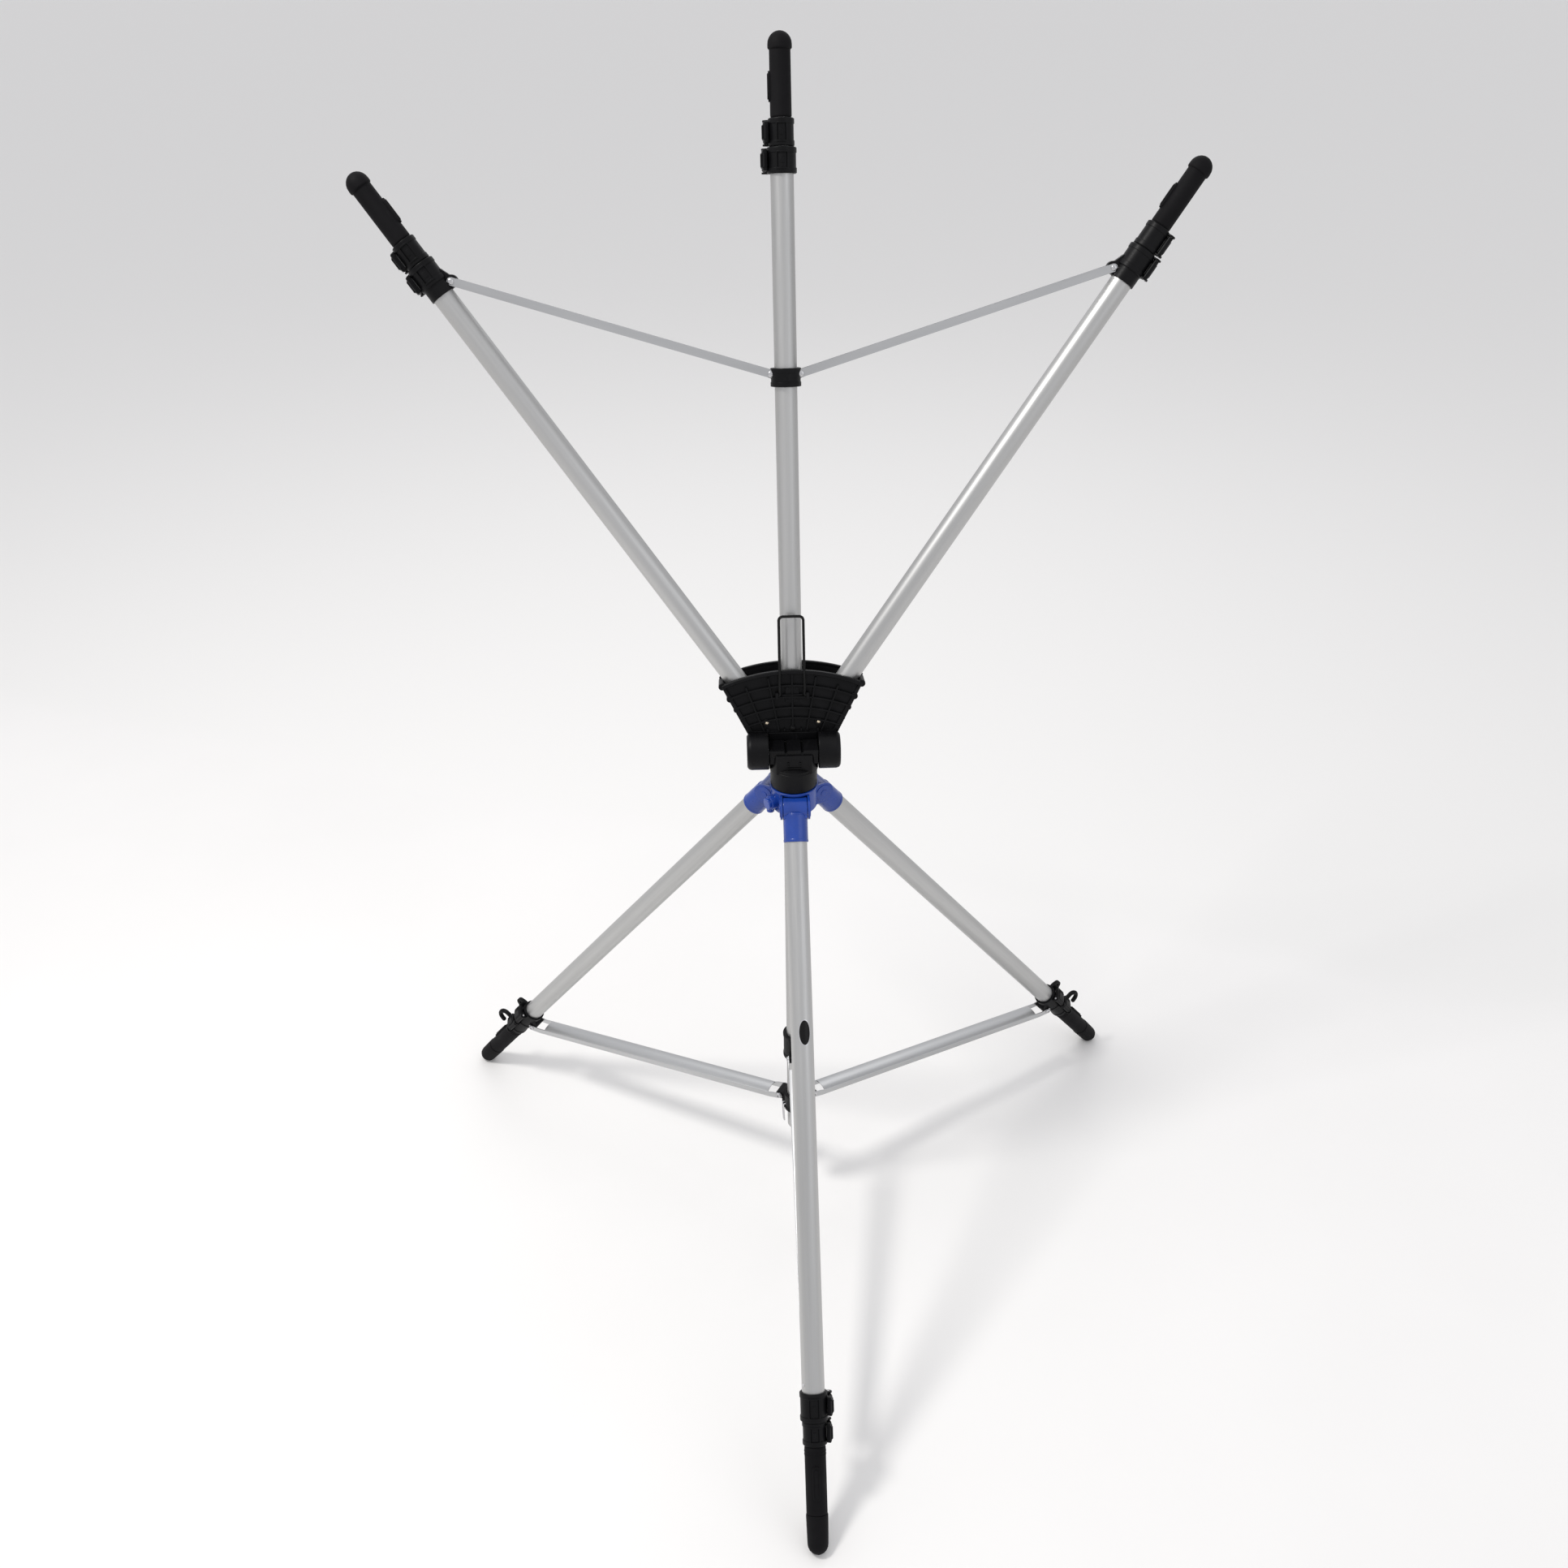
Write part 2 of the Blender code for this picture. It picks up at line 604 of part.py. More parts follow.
def add_head(carrier):
    """The two head shells, the front one with the tilt barrels and the bail's bosses."""
    seam = ARM_PLANE + GAP / 2
    full, inside = half_shell(95.0, 78.0, SHELL_FRONT, seam)
    shell = fuse(full, cut=[inside])
    barrels, bosses, bores = [], [], []
    for side in (-1, 1):
        low, high = side * 29.0, side * BARREL_HALF
        barrels.append(rod((low, 0, 0), (high, 0, 0), BARREL_RADIUS, SIDES))
        bores.append(rod((side * 20.0, 0, 0), (side * 48.6, 0, 0), 4.3))
        near, far = sorted((side * 15.9, side * 19.9))
        boss_y, wire = BAIL_PIVOT[1], BAIL_PLANE
        bosses.append(block((near, boss_y - 4.0, -9.0), (far, boss_y + 4.0, wire + 3.6)))
        bores.append(rod((side * 10.0, boss_y, wire), (side * 18.4, boss_y, wire), BAIL_WIRE + GAP))
    web = block((-50.0, 8.0, -24.0), (50.0, 15.0, SHELL_FRONT))
    posts = rivet_posts(SHELL_BACK + SHELL_WALL + GAP, SHELL_FRONT - 1.0)
    clearance = rod((-28.99, 0, 0), (28.99, 0, 0), BARREL_RADIUS + 0.5, SIDES)
    add = barrels + bosses + [web, saddle(seam, SHELL_FRONT - 1.0)] + posts
    front = fuse(shell, add=add, cut=bores + [clearance, mid_tube_bore()])
    place("head_front", front, carrier, "black_plastic")
    seam = ARM_PLANE - GAP / 2
    full, inside = half_shell(99.0, 82.0, SHELL_BACK, seam)
    shell = fuse(full, cut=[inside])
    back = fuse(shell, add=[saddle(SHELL_BACK + 1.0, seam)], cut=[mid_tube_bore()])
    place("head_back", back, carrier, "black_plastic")


def add_bail(matrix):
    """The wire bail that swings on the front shell."""
    reach, start = BAIL_PIVOT
    height = BAIL_TOP - start
    carrier = frame("bail_frame", matrix @ Matrix.Translation((0, start, BAIL_PLANE)))
    turn = 5.0
    right = [(18.2, 0, 0), (15.2, 0, 0), (reach, 1.4, 0), (reach, height - turn, 0)]
    corner = [(reach - turn + x, height - turn + y, 0) for x, y in arc((0, 0), turn, 22, 90, 3)]
    half = right + corner
    points = half + [(-x, y, z) for x, y, z in reversed(half)]
    place("wire_bail", swept(points, BAIL_WIRE), carrier, "black_wire")


def tip_section(side):
    """The last tube of an arm with its grip, button strip and domed cap."""
    tip_radius = ARM_TUBE - 2.6
    profile = [(tip_radius - 1.2, 715.0), (tip_radius - 1.2, LAST_TUBE_START)]
    profile.append((tip_radius, LAST_TUBE_START))
    profile += [(tip_radius, 658.0), (11.35, 658.3), (11.2, 723.5), (12.8, 724.5), (12.8, 728.0)]
    profile += [(12.8 * math.cos(a), 728.0 + 13.0 * math.sin(a)) for a in (0.35, 0.7, 1.05, 1.4)]
    return fuse(turned(profile), add=[tongue(11.2, side, 674.0, 702.0)])


def arm_ear():
    """The lug on the inner side of a side arm's clamp that the strut hinges on."""
    drop, station = ARM_EAR
    lug = rod((-drop - 0.6, -4.2, station), (-drop - 0.6, 4.2, station), 4.6)
    web = block((-drop, -4.2, station - 4.4), (-13.4, 4.2, station + 5.0))
    return [lug, web]


def arm_flats():
    """The clamp is cut flat at both sides of the ear, where the strut's skirts pass."""
    spans = ((-20.0, -4.3), (4.3, 20.0))
    return [block((-24.0, low, 580.0), (-9.0, high, 604.0)) for low, high in spans]


def arm_matrix(head, side):
    """Local Z runs up the arm and local X is its outer side; side is -1 left, 0 middle, 1 right."""
    spread = math.radians(ARM_SPREAD) * side
    pivot = Vector((side * ARM_PIVOT[0], ARM_PIVOT[1] if side else MID_ARM_START, ARM_PLANE))
    along = Vector((math.sin(spread), math.cos(spread), 0))
    outward = Vector((math.cos(spread), -math.sin(spread), 0)) * (side or -1)
    return head @ axes(pivot, outward, along)


def add_arm(head, name, side):
    carrier = frame(name + "_arm_frame", arm_matrix(head, side))
    outer = {"radius": 15.9, "low": 603.0, "high": 629.2}
    inner = {"radius": 13.9, "low": 629.7, "high": 657.5}
    extras = {"add": [], "cut": [], "inner": []}
    bores, start = [], 0.0
    if side:
        outer["skirt"] = (14.3, 590.0)
        extras["add"] = arm_ear()
        extras["cut"] = arm_flats()
        bores = [rod((0, -20, 0), (0, 20, 0), 3.3)]
        start = -8.0
    telescope(name + "_arm", carrier, ARM_TUBE, start, outer, inner, 0.0, 1, extras, bores)
    place(name + "_arm_tip_section", tip_section(180.0 if side else 0.0), carrier, "rubber")


def add_strut(head, name, side):
    """The light channel between a side arm's ear and the slide collar, open upward."""
    drop, station = ARM_EAR
    ear = arm_matrix(head, side) @ Vector((-drop, 0, station))
    pin = head @ Vector((side * STRUT_PIVOT[0], STRUT_PIVOT[1], ARM_PLANE))
    reach = pin - ear
    normal = head.to_3x3() @ Vector((0, 0, 1))
    down = normal.cross(reach) * side
    carrier = frame(name + "_strut_frame", axes(ear, down, reach))
    length = reach.length - STRUT_OPEN_END
    place(name + "_strut", channel(-1.5, length, 5.5, 3.5, -5.2, 1.0, 0.3, 9.0), carrier, "aluminium")


def add_slide_collar(head):
    """The ring on the middle arm that both struts push."""
    low, high = SLIDE_COLLAR
    carrier = frame("slide_collar_frame", head @ Matrix.Translation((0, low, ARM_PLANE)))
    turn = Matrix.Rotation(math.radians(-90), 4, "X")
    ring = moved(tube(17.0, ARM_TUBE + GAP, 0.0, high - low), turn)
    lift = STRUT_PIVOT[1] - low
    lugs = [rod((s * 17.6, lift, -3.7), (s * 17.6, lift, 3.7), 4.6) for s in (-1, 1)]
    place("slide_collar", fuse(ring, add=lugs), carrier, "black_plastic")


def main():
    clear_scene()
    column_matrix = Matrix.Translation((0, COLUMN_Y, 0))
    base = frame("base_frame", column_matrix)
    add_hub(base)
    add_hub_lock(base)
    add_column(base)
    add_collars(column_matrix)
    for name, azimuth in LEG_AZIMUTHS.items():
        add_leg(name, azimuth)
        height = UPPER_PIVOT_HEIGHT if name == "front" else LOWER_PIVOT_HEIGHT
        add_brace(name, azimuth, height)
    add_neck(column_matrix)
    head = head_matrix()
    add_head(frame("head_frame", head))
    add_bail(head)
    for name, side in (("left", -1), ("mid", 0), ("right", 1)):
        add_arm(head, name, side)
        if side:
            add_strut(head, name, side)
    add_slide_collar(head)


main()
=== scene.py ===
"""The looks of the folding stand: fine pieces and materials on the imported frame.

Pieces are modelled in millimetres in the local frame of the body that they ride on.
"""

import json
import math

import bmesh
import bpy
from mathutils import Matrix, Vector

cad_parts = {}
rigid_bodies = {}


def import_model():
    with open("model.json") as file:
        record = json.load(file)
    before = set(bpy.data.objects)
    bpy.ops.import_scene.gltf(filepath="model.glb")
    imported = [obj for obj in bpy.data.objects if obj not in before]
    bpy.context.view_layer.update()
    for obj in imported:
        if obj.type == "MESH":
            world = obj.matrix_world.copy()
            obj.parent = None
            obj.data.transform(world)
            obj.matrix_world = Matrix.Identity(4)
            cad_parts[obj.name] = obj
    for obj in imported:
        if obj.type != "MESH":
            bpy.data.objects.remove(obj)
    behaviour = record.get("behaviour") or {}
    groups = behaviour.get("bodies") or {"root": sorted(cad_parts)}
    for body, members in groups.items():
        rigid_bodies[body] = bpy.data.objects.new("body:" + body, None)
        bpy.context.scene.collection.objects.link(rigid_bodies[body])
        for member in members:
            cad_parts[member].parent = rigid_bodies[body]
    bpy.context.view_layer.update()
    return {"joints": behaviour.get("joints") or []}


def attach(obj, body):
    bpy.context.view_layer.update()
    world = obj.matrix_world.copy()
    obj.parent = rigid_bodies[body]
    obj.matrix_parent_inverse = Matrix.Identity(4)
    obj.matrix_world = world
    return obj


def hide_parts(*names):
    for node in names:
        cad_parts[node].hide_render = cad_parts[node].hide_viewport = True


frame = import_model()
JOINTS = {joint["name"]: joint for joint in frame["joints"]}

MM = 0.001
SIDES = 64
FINE_SIDES = 32
WIRE_SIDES = 16
SHARP_ANGLE = 38.0
FAN_STEPS = 28
WALL_SLOPE = 0.4025
WALL_START = 0.90
WALL_BLEND = 0.08

LEG_AZIMUTHS = {"front": -90.0, "rear_right": 30.0, "rear_left": 150.0}
LEG_LEVERS = {"front": (-90.0, 1), "rear_right": (44.0, -1), "rear_left": (-44.0, 1)}
LEG_TUBE = 13.1
ARM_TUBE = 12.5
MIDDLE_TUBE_START = 95.0
LAST_TUBE_START = 115.0
LEG_OUTER_CLAMP = (16.0, -167.4, -135.5)  # radius and both ends, from the foot's centre
LEG_INNER_CLAMP = (14.0, -135.2, -108.8)
ARM_OUTER_CLAMP = (15.9, 603.0, 629.2)
ARM_INNER_CLAMP = (13.9, 629.7, 657.5)
FOOT_RADIUS = 12.0
FOOT_CENTRE_HEIGHT = 11.5
BRACE_EAR_DROP = 15.8
BRACE_EAR_STATION = -146.5
EYELET_STATION = -159.0
HOOK_STATION = -112.5
BRACE_HALF_WIDTH = 11.5
BRACE_SHEET = 1.2
BRACE_WEB_START = 24.0
COLLAR_PIVOT_RADIUS = 22.0
COLLAR_PIVOTS = {"front": 257.5, "rear_right": 168.5, "rear_left": 168.5}
ARM_EAR = (16.5, 596.0)
STRUT_PIVOT = (16.6, 426.7)
SLIDE_START = 412.8
ARM_PLANE = -25.0
MID_ARM_START = 28.3
TILT_AXIS = Vector(JOINTS["head_tilt"]["pos_m"])
COLUMN = Matrix.Translation((0, JOINTS["neck_pan"]["pos_m"][1], 0))
COLUMN_BORE = 12.8
HUB_HEIGHT = 667.0
HUB_REACH = 31.0
FRONT_SHELL = (95.0, -8.0, -24.9)  # height of the crown, and depths of the face and the seam
BACK_SHELL = (99.0, -42.0, -25.1)
ARM_RIVET = (30.3, 31.8)
BAIL_REACH = 14.2


# ---- camera, light and floor ------------------------------------------------


def add_camera():
    """The photograph's view: from the front, a little left, and well above."""
    place = Vector((-0.0552, -1.3778, 1.6763))
    ahead = Vector((0.0240, 0.8355, -0.5489)).normalized()
    right = ahead.cross(Vector((0.0287, 0.5483, 0.8358))).normalized()
    up = right.cross(ahead)
    data = bpy.data.cameras.new("camera")
    data.sensor_width = 36.0
    data.lens = 34.96
    data.clip_end = 100.0
    camera = bpy.data.objects.new("camera", data)
    turn = Matrix((right, up, -ahead)).transposed().to_4x4()
    camera.matrix_world = Matrix.Translation(place) @ turn
    bpy.context.scene.collection.objects.link(camera)
    bpy.context.scene.camera = camera


def add_area_light(name, place, target, size, power, colour):
    data = bpy.data.lights.new(name, "AREA")
    data.shape = "DISK"
    data.size = size
    data.energy = power
    data.color = colour
    light = bpy.data.objects.new(name, data)
    aim = (Vector(target) - Vector(place)).to_track_quat("-Z", "Y").to_matrix().to_4x4()
    light.matrix_world = Matrix.Translation(place) @ aim
    bpy.context.scene.collection.objects.link(light)


def add_lights():
    """A bright surround, a high key from the left, a fill from the right and a light behind."""
    world = bpy.data.worlds.new("studio")
    world.use_nodes = True
    surround = world.node_tree.nodes["Background"]
    surround.inputs["Color"].default_value = (0.97, 0.972, 1.0, 1.0)
    surround.inputs["Strength"].default_value = 0.76
    bpy.context.scene.world = world
    bpy.context.scene.view_settings.view_transform = "Standard"
    centre = (0.0, 0.1, 0.5)
    add_area_light("key", (-1.5, -0.3, 3.2), centre, 0.6, 46.0, (1.0, 0.985, 0.96))
    add_area_light("fill", (2.3, -1.6, 2.2), centre, 2.2, 8.0, (0.95, 0.97, 1.0))
    add_area_light("wall_shade", (0.2, 2.6, 2.6), centre, 2.0, 10.0, (1.0, 1.0, 1.0))


# ---- materials ---------------------------------------------------------------


def new_shader(name):
    made = bpy.data.materials.new(name)
    made.use_nodes = True
    return made, made.node_tree.nodes, made.node_tree.links, made.node_tree.nodes["Principled BSDF"]


def object_noise(nodes, links, scale, detail=3.0, stretch=(1.0, 1.0, 1.0)):
    """Noise in the piece's own coordinates, where local Z runs along a tube."""
    coords = nodes.new("ShaderNodeTexCoord")
    mapping = nodes.new("ShaderNodeMapping")
    mapping.inputs["Scale"].default_value = stretch
    noise = nodes.new("ShaderNodeTexNoise")
    noise.inputs["Scale"].default_value = scale
    noise.inputs["Detail"].default_value = detail
    links.new(coords.outputs["Object"], mapping.inputs["Vector"])
    links.new(mapping.outputs["Vector"], noise.inputs["Vector"])
    return noise.outputs["Fac"]


def colour_range(nodes, links, source, low, high, start=0.3, end=0.7):
    ramp = nodes.new("ShaderNodeValToRGB")
    ramp.color_ramp.elements[0].position = start
    ramp.color_ramp.elements[1].position = end
    ramp.color_ramp.elements[0].color = (*low, 1.0)
    ramp.color_ramp.elements[1].color = (*high, 1.0)
    links.new(source, ramp.inputs["Fac"])
    return ramp.outputs["Color"]


def value_range(nodes, links, source, low, high):
    spread = nodes.new("ShaderNodeMapRange")
    spread.inputs["From Min"].default_value = 0.3
    spread.inputs["From Max"].default_value = 0.7
    spread.inputs["To Min"].default_value = low
    spread.inputs["To Max"].default_value = high
    links.new(source, spread.inputs["Value"])
    return spread.outputs["Result"]


def add_bump(nodes, links, shader, source, strength, distance):
    bump = nodes.new("ShaderNodeBump")
    bump.inputs["Strength"].default_value = strength
    bump.inputs["Distance"].default_value = distance
    links.new(source, bump.inputs["Height"])
    links.new(bump.outputs["Normal"], shader.inputs["Normal"])


def mix_colours(nodes, links, amount, first, second):
    mix = nodes.new("ShaderNodeMix")
    mix.data_type = "RGBA"
    links.new(amount, mix.inputs["Factor"])
    links.new(first, mix.inputs["A"])
    mix.inputs["B"].default_value = (*second, 1.0)
    return mix.outputs["Result"]


def surface(
    name, dark, light, rough, grain, bump,
    metallic=0.0, coat=0.0, gloss=0.5, stretch=(1, 1, 1), wear=None,
):
    """A procedural surface: cloudy colour, uneven roughness, a fine grain and light scuffs."""
    made, nodes, links, shader = new_shader(name)
    clouds = object_noise(nodes, links, 38.0, 4.0, stretch)
    fine = object_noise(nodes, links, grain, 2.0, stretch)
    colour = colour_range(nodes, links, clouds, dark, light)
    if wear:
        scuffs = object_noise(nodes, links, 95.0, 8.0, (1.0, 1.0, 0.35))
        amount = colour_range(nodes, links, scuffs, (0, 0, 0), (0.55, 0.55, 0.55), 0.62, 0.74)
        colour = mix_colours(nodes, links, amount, colour, wear)
    links.new(colour, shader.inputs["Base Color"])
    links.new(value_range(nodes, links, fine, *rough), shader.inputs["Roughness"])
    shader.inputs["Metallic"].default_value = metallic
    shader.inputs["Specular IOR Level"].default_value = gloss
    shader.inputs["Coat Weight"].default_value = coat
    shader.inputs["Coat Roughness"].default_value = 0.12
    add_bump(nodes, links, shader, fine, *bump)
    return made


MATERIALS = {
    "aluminium": surface(
        "satin_anodised_aluminium", (0.45, 0.45, 0.445), (0.53, 0.53, 0.525), (0.38, 0.50), 420.0,
        (0.08, 0.00006), metallic=0.9, stretch=(2.2, 2.2, 0.05),
    ),
    "sheet_aluminium": surface(
        "pressed_aluminium", (0.46, 0.465, 0.47), (0.56, 0.565, 0.57), (0.30, 0.36), 260.0,
        (0.02, 0.00002), metallic=0.92, stretch=(1.0, 1.0, 0.1),
    ),
    "plastic": surface(
        "black_moulded_plastic", (0.0016, 0.0016, 0.0020), (0.0036, 0.0036, 0.0044), (0.36, 0.52), 1500.0,
        (0.14, 0.0001), gloss=0.15, wear=(0.009, 0.009, 0.010),
    ),
    "rubber": surface(
        "soft_black_grip", (0.0030, 0.0028, 0.0034), (0.0060, 0.0056, 0.0066), (0.6, 0.78), 2100.0,
        (0.22, 0.00012), gloss=0.12, wear=(0.016, 0.0155, 0.0155),
    ),
    "blue": surface(
        "glossy_blue_plastic", (0.006, 0.038, 0.25), (0.008, 0.050, 0.32), (0.26, 0.36), 240.0,
        (0.03, 0.00006), coat=0.25, gloss=0.4,
    ),
    "wire": surface(
        "black_coated_wire", (0.002, 0.002, 0.002), (0.005, 0.005, 0.005), (0.24, 0.38), 900.0,
        (0.08, 0.00006), coat=0.04, gloss=0.18,
    ),
    "zinc": surface(
        "zinc_plated_steel", (0.50, 0.50, 0.51), (0.66, 0.66, 0.67), (0.22, 0.36), 1400.0,
        (0.10, 0.00005), metallic=1.0,
    ),
    "brass": surface(
        "brass_rivet", (0.62, 0.52, 0.38), (0.80, 0.72, 0.58), (0.25, 0.42), 1400.0,
        (0.10, 0.00005), metallic=1.0,
    ),
    "grey": surface(
        "grey_plug_plastic", (0.30, 0.30, 0.30), (0.38, 0.38, 0.38), (0.42, 0.58), 1200.0,
        (0.12, 0.0001),
    ),
}


def floor_material():
    """A pale painted floor with painted shade: its tone turns a little darker beyond a slanting line at the
    back, standing in for the shaded wall.
    """
    made, nodes, links, shader = new_shader("pale_studio_floor")
    coords = nodes.new("ShaderNodeTexCoord")
    axes = nodes.new("ShaderNodeSeparateXYZ")
    links.new(coords.outputs["Object"], axes.inputs["Vector"])
    slope = nodes.new("ShaderNodeMath")
    slope.operation = "MULTIPLY_ADD"
    slope.inputs[1].default_value = WALL_SLOPE
    links.new(axes.outputs["X"], slope.inputs[0])
    links.new(axes.outputs["Y"], slope.inputs[2])
    # Painted shade: a mask that is 1 beyond the slanting wall line, where the floor is made a little darker
    # to stand in for the wall's shade.
    wall_shade = nodes.new("ShaderNodeMapRange")
    wall_shade.inputs["From Min"].default_value = WALL_START
    wall_shade.inputs["From Max"].default_value = WALL_START + WALL_BLEND
    links.new(slope.outputs["Value"], wall_shade.inputs["Value"])
    clouds = object_noise(nodes, links, 1.3, 4.0)
    pale = colour_range(nodes, links, clouds, (0.86, 0.85, 0.835), (0.90, 0.89, 0.875))
    colour = mix_colours(nodes, links, wall_shade.outputs["Result"], pale, (0.87, 0.862, 0.845))
    links.new(colour, shader.inputs["Base Color"])
    shader.inputs["Roughness"].default_value = 0.55
    return made


def add_floor():
    bm = bmesh.new()
    bmesh.ops.create_grid(bm, x_segments=8, y_segments=8, size=40.0)
    mesh = bpy.data.meshes.new("floor")
    bm.to_mesh(mesh)
    bm.free()
    mesh.materials.append(floor_material())
    floor = bpy.data.objects.new("floor", mesh)
    bpy.context.scene.collection.objects.link(floor)


# ---- shapes, in millimetres --------------------------------------------------


def to_mesh(bm):
    bmesh.ops.recalc_face_normals(bm, faces=bm.faces[:])
    mesh = bpy.data.meshes.new("shape")
    bm.to_mesh(mesh)
    bm.free()
    return mesh


def skin(rings, hollow=False):
    """A closed mesh through rings of points, capped unless it is a hollow that closes on itself."""
    bm = bmesh.new()
    loops = [[bm.verts.new(point) for point in points] for points in rings]
    pairs = list(zip(loops, loops[1:]))
    if hollow:
        pairs.append((loops[-1], loops[0]))
    for one, two in pairs:
        for i, vert in enumerate(one):
            after = (i + 1) % len(one)
            bm.faces.new((vert, one[after], two[after], two[i]))
    if not hollow:
        bm.faces.new(loops[0])
        bm.faces.new(loops[-1])
    return to_mesh(bm)


def softened(profile, radius, closed=False):
    """The profile with each corner replaced by a short curve."""
    out = []
    count = len(profile)
    for i, point in enumerate(profile):
        if not closed and i in (0, count - 1):
            out.append(point)
            continue
        corner = Vector(point)
        before = Vector(profile[i - 1]) - corner
        after = Vector(profile[(i + 1) % count]) - corner
        first = corner + before.normalized() * min(radius, before.length * 0.45)
        last = corner + after.normalized() * min(radius, after.length * 0.45)
        for t in (0.0, 0.33, 0.67, 1.0):
            mixed = first * (1 - t) ** 2 + corner * 2 * t * (1 - t) + last * t * t
            out.append(tuple(mixed))
    return out


def turned(profile, hollow=False, soft=0.5, sides=SIDES):
    """A profile of (radius, height), with softened corners, turned about local Z."""
    points = softened(profile, soft, hollow) if soft else profile
    rings = []
    for radius, height in points:
        steps = [math.tau * i / sides for i in range(sides)]
        rings.append([(radius * math.cos(a), radius * math.sin(a), height) for a in steps])
    return skin(rings, hollow)


def ring(inner, outer, low, high, soft):
    """A plain hollow ring about local Z."""
    return turned([(inner, low), (outer, low), (outer, high), (inner, high)], hollow=True, soft=soft)


def dome(radius, rise, base, steps):
    """The profile points of a dome over a base height, at angles above its rim."""
    return [(radius * math.cos(a), base + rise * math.sin(a)) for a in steps]


def sided(side, one, two):
    """Two distances on one side of the middle, in rising order."""
    return sorted((side * one, side * two))


def moved(mesh, matrix):
    mesh.transform(matrix)
    return mesh


def spun(mesh, degrees, axis="Z"):
    return moved(mesh, Matrix.Rotation(math.radians(degrees), 4, axis))


def shifted(mesh, *offset):
    return moved(mesh, Matrix.Translation(offset))


def rod(start, end, radius, soft=0.5, sides=FINE_SIDES):
    """A round bar between two points, with softened rims."""
    start, end = Vector(start), Vector(end)
    turn = Vector((0, 0, 1)).rotation_difference(end - start).to_matrix().to_4x4()
    length = (end - start).length
    core = radius * 0.3
    bar = turned([(core, 0), (radius, 0), (radius, length), (core, length)], soft=soft, sides=sides)
    return moved(bar, Matrix.Translation(start) @ turn)


def slab(outline, low, high, plane="xy", soft=0.5, segments=2):
    """An outline swept straight, with bevelled edges; plane names the outline's two axes."""
    place = {
        "xy": lambda a, b, c: (a, b, c),
        "xz": lambda a, b, c: (a, c, b),
        "yz": lambda a, b, c: (c, a, b),
    }[plane]
    mesh = skin([[place(a, b, level) for a, b in outline] for level in (low, high)])
    if not soft:
        return mesh
    bm = bmesh.new()
    bm.from_mesh(mesh)
    sharp = [e for e in bm.edges if e.calc_face_angle(0.0) > math.radians(30)]
    bmesh.ops.bevel(
        bm, geom=sharp, offset=soft, offset_type="OFFSET", segments=segments,
        profile=0.5, affect="EDGES", clamp_overlap=True,
    )
    return to_mesh(bm)


def block(low, high, soft=0.5):
    (x0, y0, z0), (x1, y1, z1) = low, high
    return slab([(x0, y0), (x1, y0), (x1, y1), (x0, y1)], z0, z1, soft=soft)


def arc(centre, radius, start, end, steps):
    angles = [math.radians(start + (end - start) * i / steps) for i in range(steps + 1)]
    return [(centre[0] + radius * math.cos(a), centre[1] + radius * math.sin(a)) for a in angles]


def sector(inner, outer, start, end, low, high, soft=0.4, steps=12):
    """A curved plate about local Z between two radii and two angles."""
    outline = arc((0, 0), inner, start, end, steps) + arc((0, 0), outer, end, start, steps)
    return slab(outline, low, high, soft=soft)


def swept(points, radius, ends=True):
    """A round wire along points, smoothed once, with rounded ends."""
    points = [Vector(p) for p in points]
    smooth = [points[0]]
    for a, b, c in zip(points, points[1:], points[2:]):
        smooth += [b + (a - b) * 0.3, b * 0.6 + a * 0.2 + c * 0.2, b + (c - b) * 0.3]
    smooth.append(points[-1])
    steps = [b - a for a, b in zip(smooth, smooth[1:])]
    tangents = [steps[0]] + [a.normalized() + b.normalized() for a, b in zip(steps, steps[1:])]
    tangents.append(steps[-1])
    stations = [(p, t.normalized(), radius) for p, t in zip(smooth, tangents)]
    if ends:
        first, last = stations[0], stations[-1]
        caps = ((0.35, 0.94), (0.7, 0.71), (0.9, 0.42))
        lead = [(first[0] - first[1] * radius * f, first[1], radius * r) for f, r in reversed(caps)]
        tail = [(last[0] + last[1] * radius * f, last[1], radius * r) for f, r in caps]
        stations = lead + stations + tail
    side = stations[0][1].orthogonal().normalized()
    rings = []
    for point, tangent, reach in stations:
        side = (side - side.dot(tangent) * tangent).normalized()
        up = tangent.cross(side)
        turns = [math.tau * i / WIRE_SIDES for i in range(WIRE_SIDES)]
        rings.append([point + reach * (side * math.cos(a) + up * math.sin(a)) for a in turns])
    return skin(rings)


def fuse(base, add=(), cut=()):
    """One mesh: base joined with every mesh in add, less every mesh in cut."""
    scene = bpy.context.scene.collection.objects
    worked = bpy.data.objects.new("worked", base)
    scene.link(worked)
    tools = []
    for operation, meshes in (("UNION", add), ("DIFFERENCE", cut)):
        for mesh in meshes:
            tool = bpy.data.objects.new("tool", mesh)
            scene.link(tool)
            tools.append(tool)
            modifier = worked.modifiers.new("shape", "BOOLEAN")
            modifier.operation = operation
            modifier.solver = "EXACT"
            modifier.object = tool
    seen = worked.evaluated_get(bpy.context.evaluated_depsgraph_get())
    result = bpy.data.meshes.new_from_object(seen)
    for thing in [worked] + tools:
        bpy.data.objects.remove(thing)
    return result


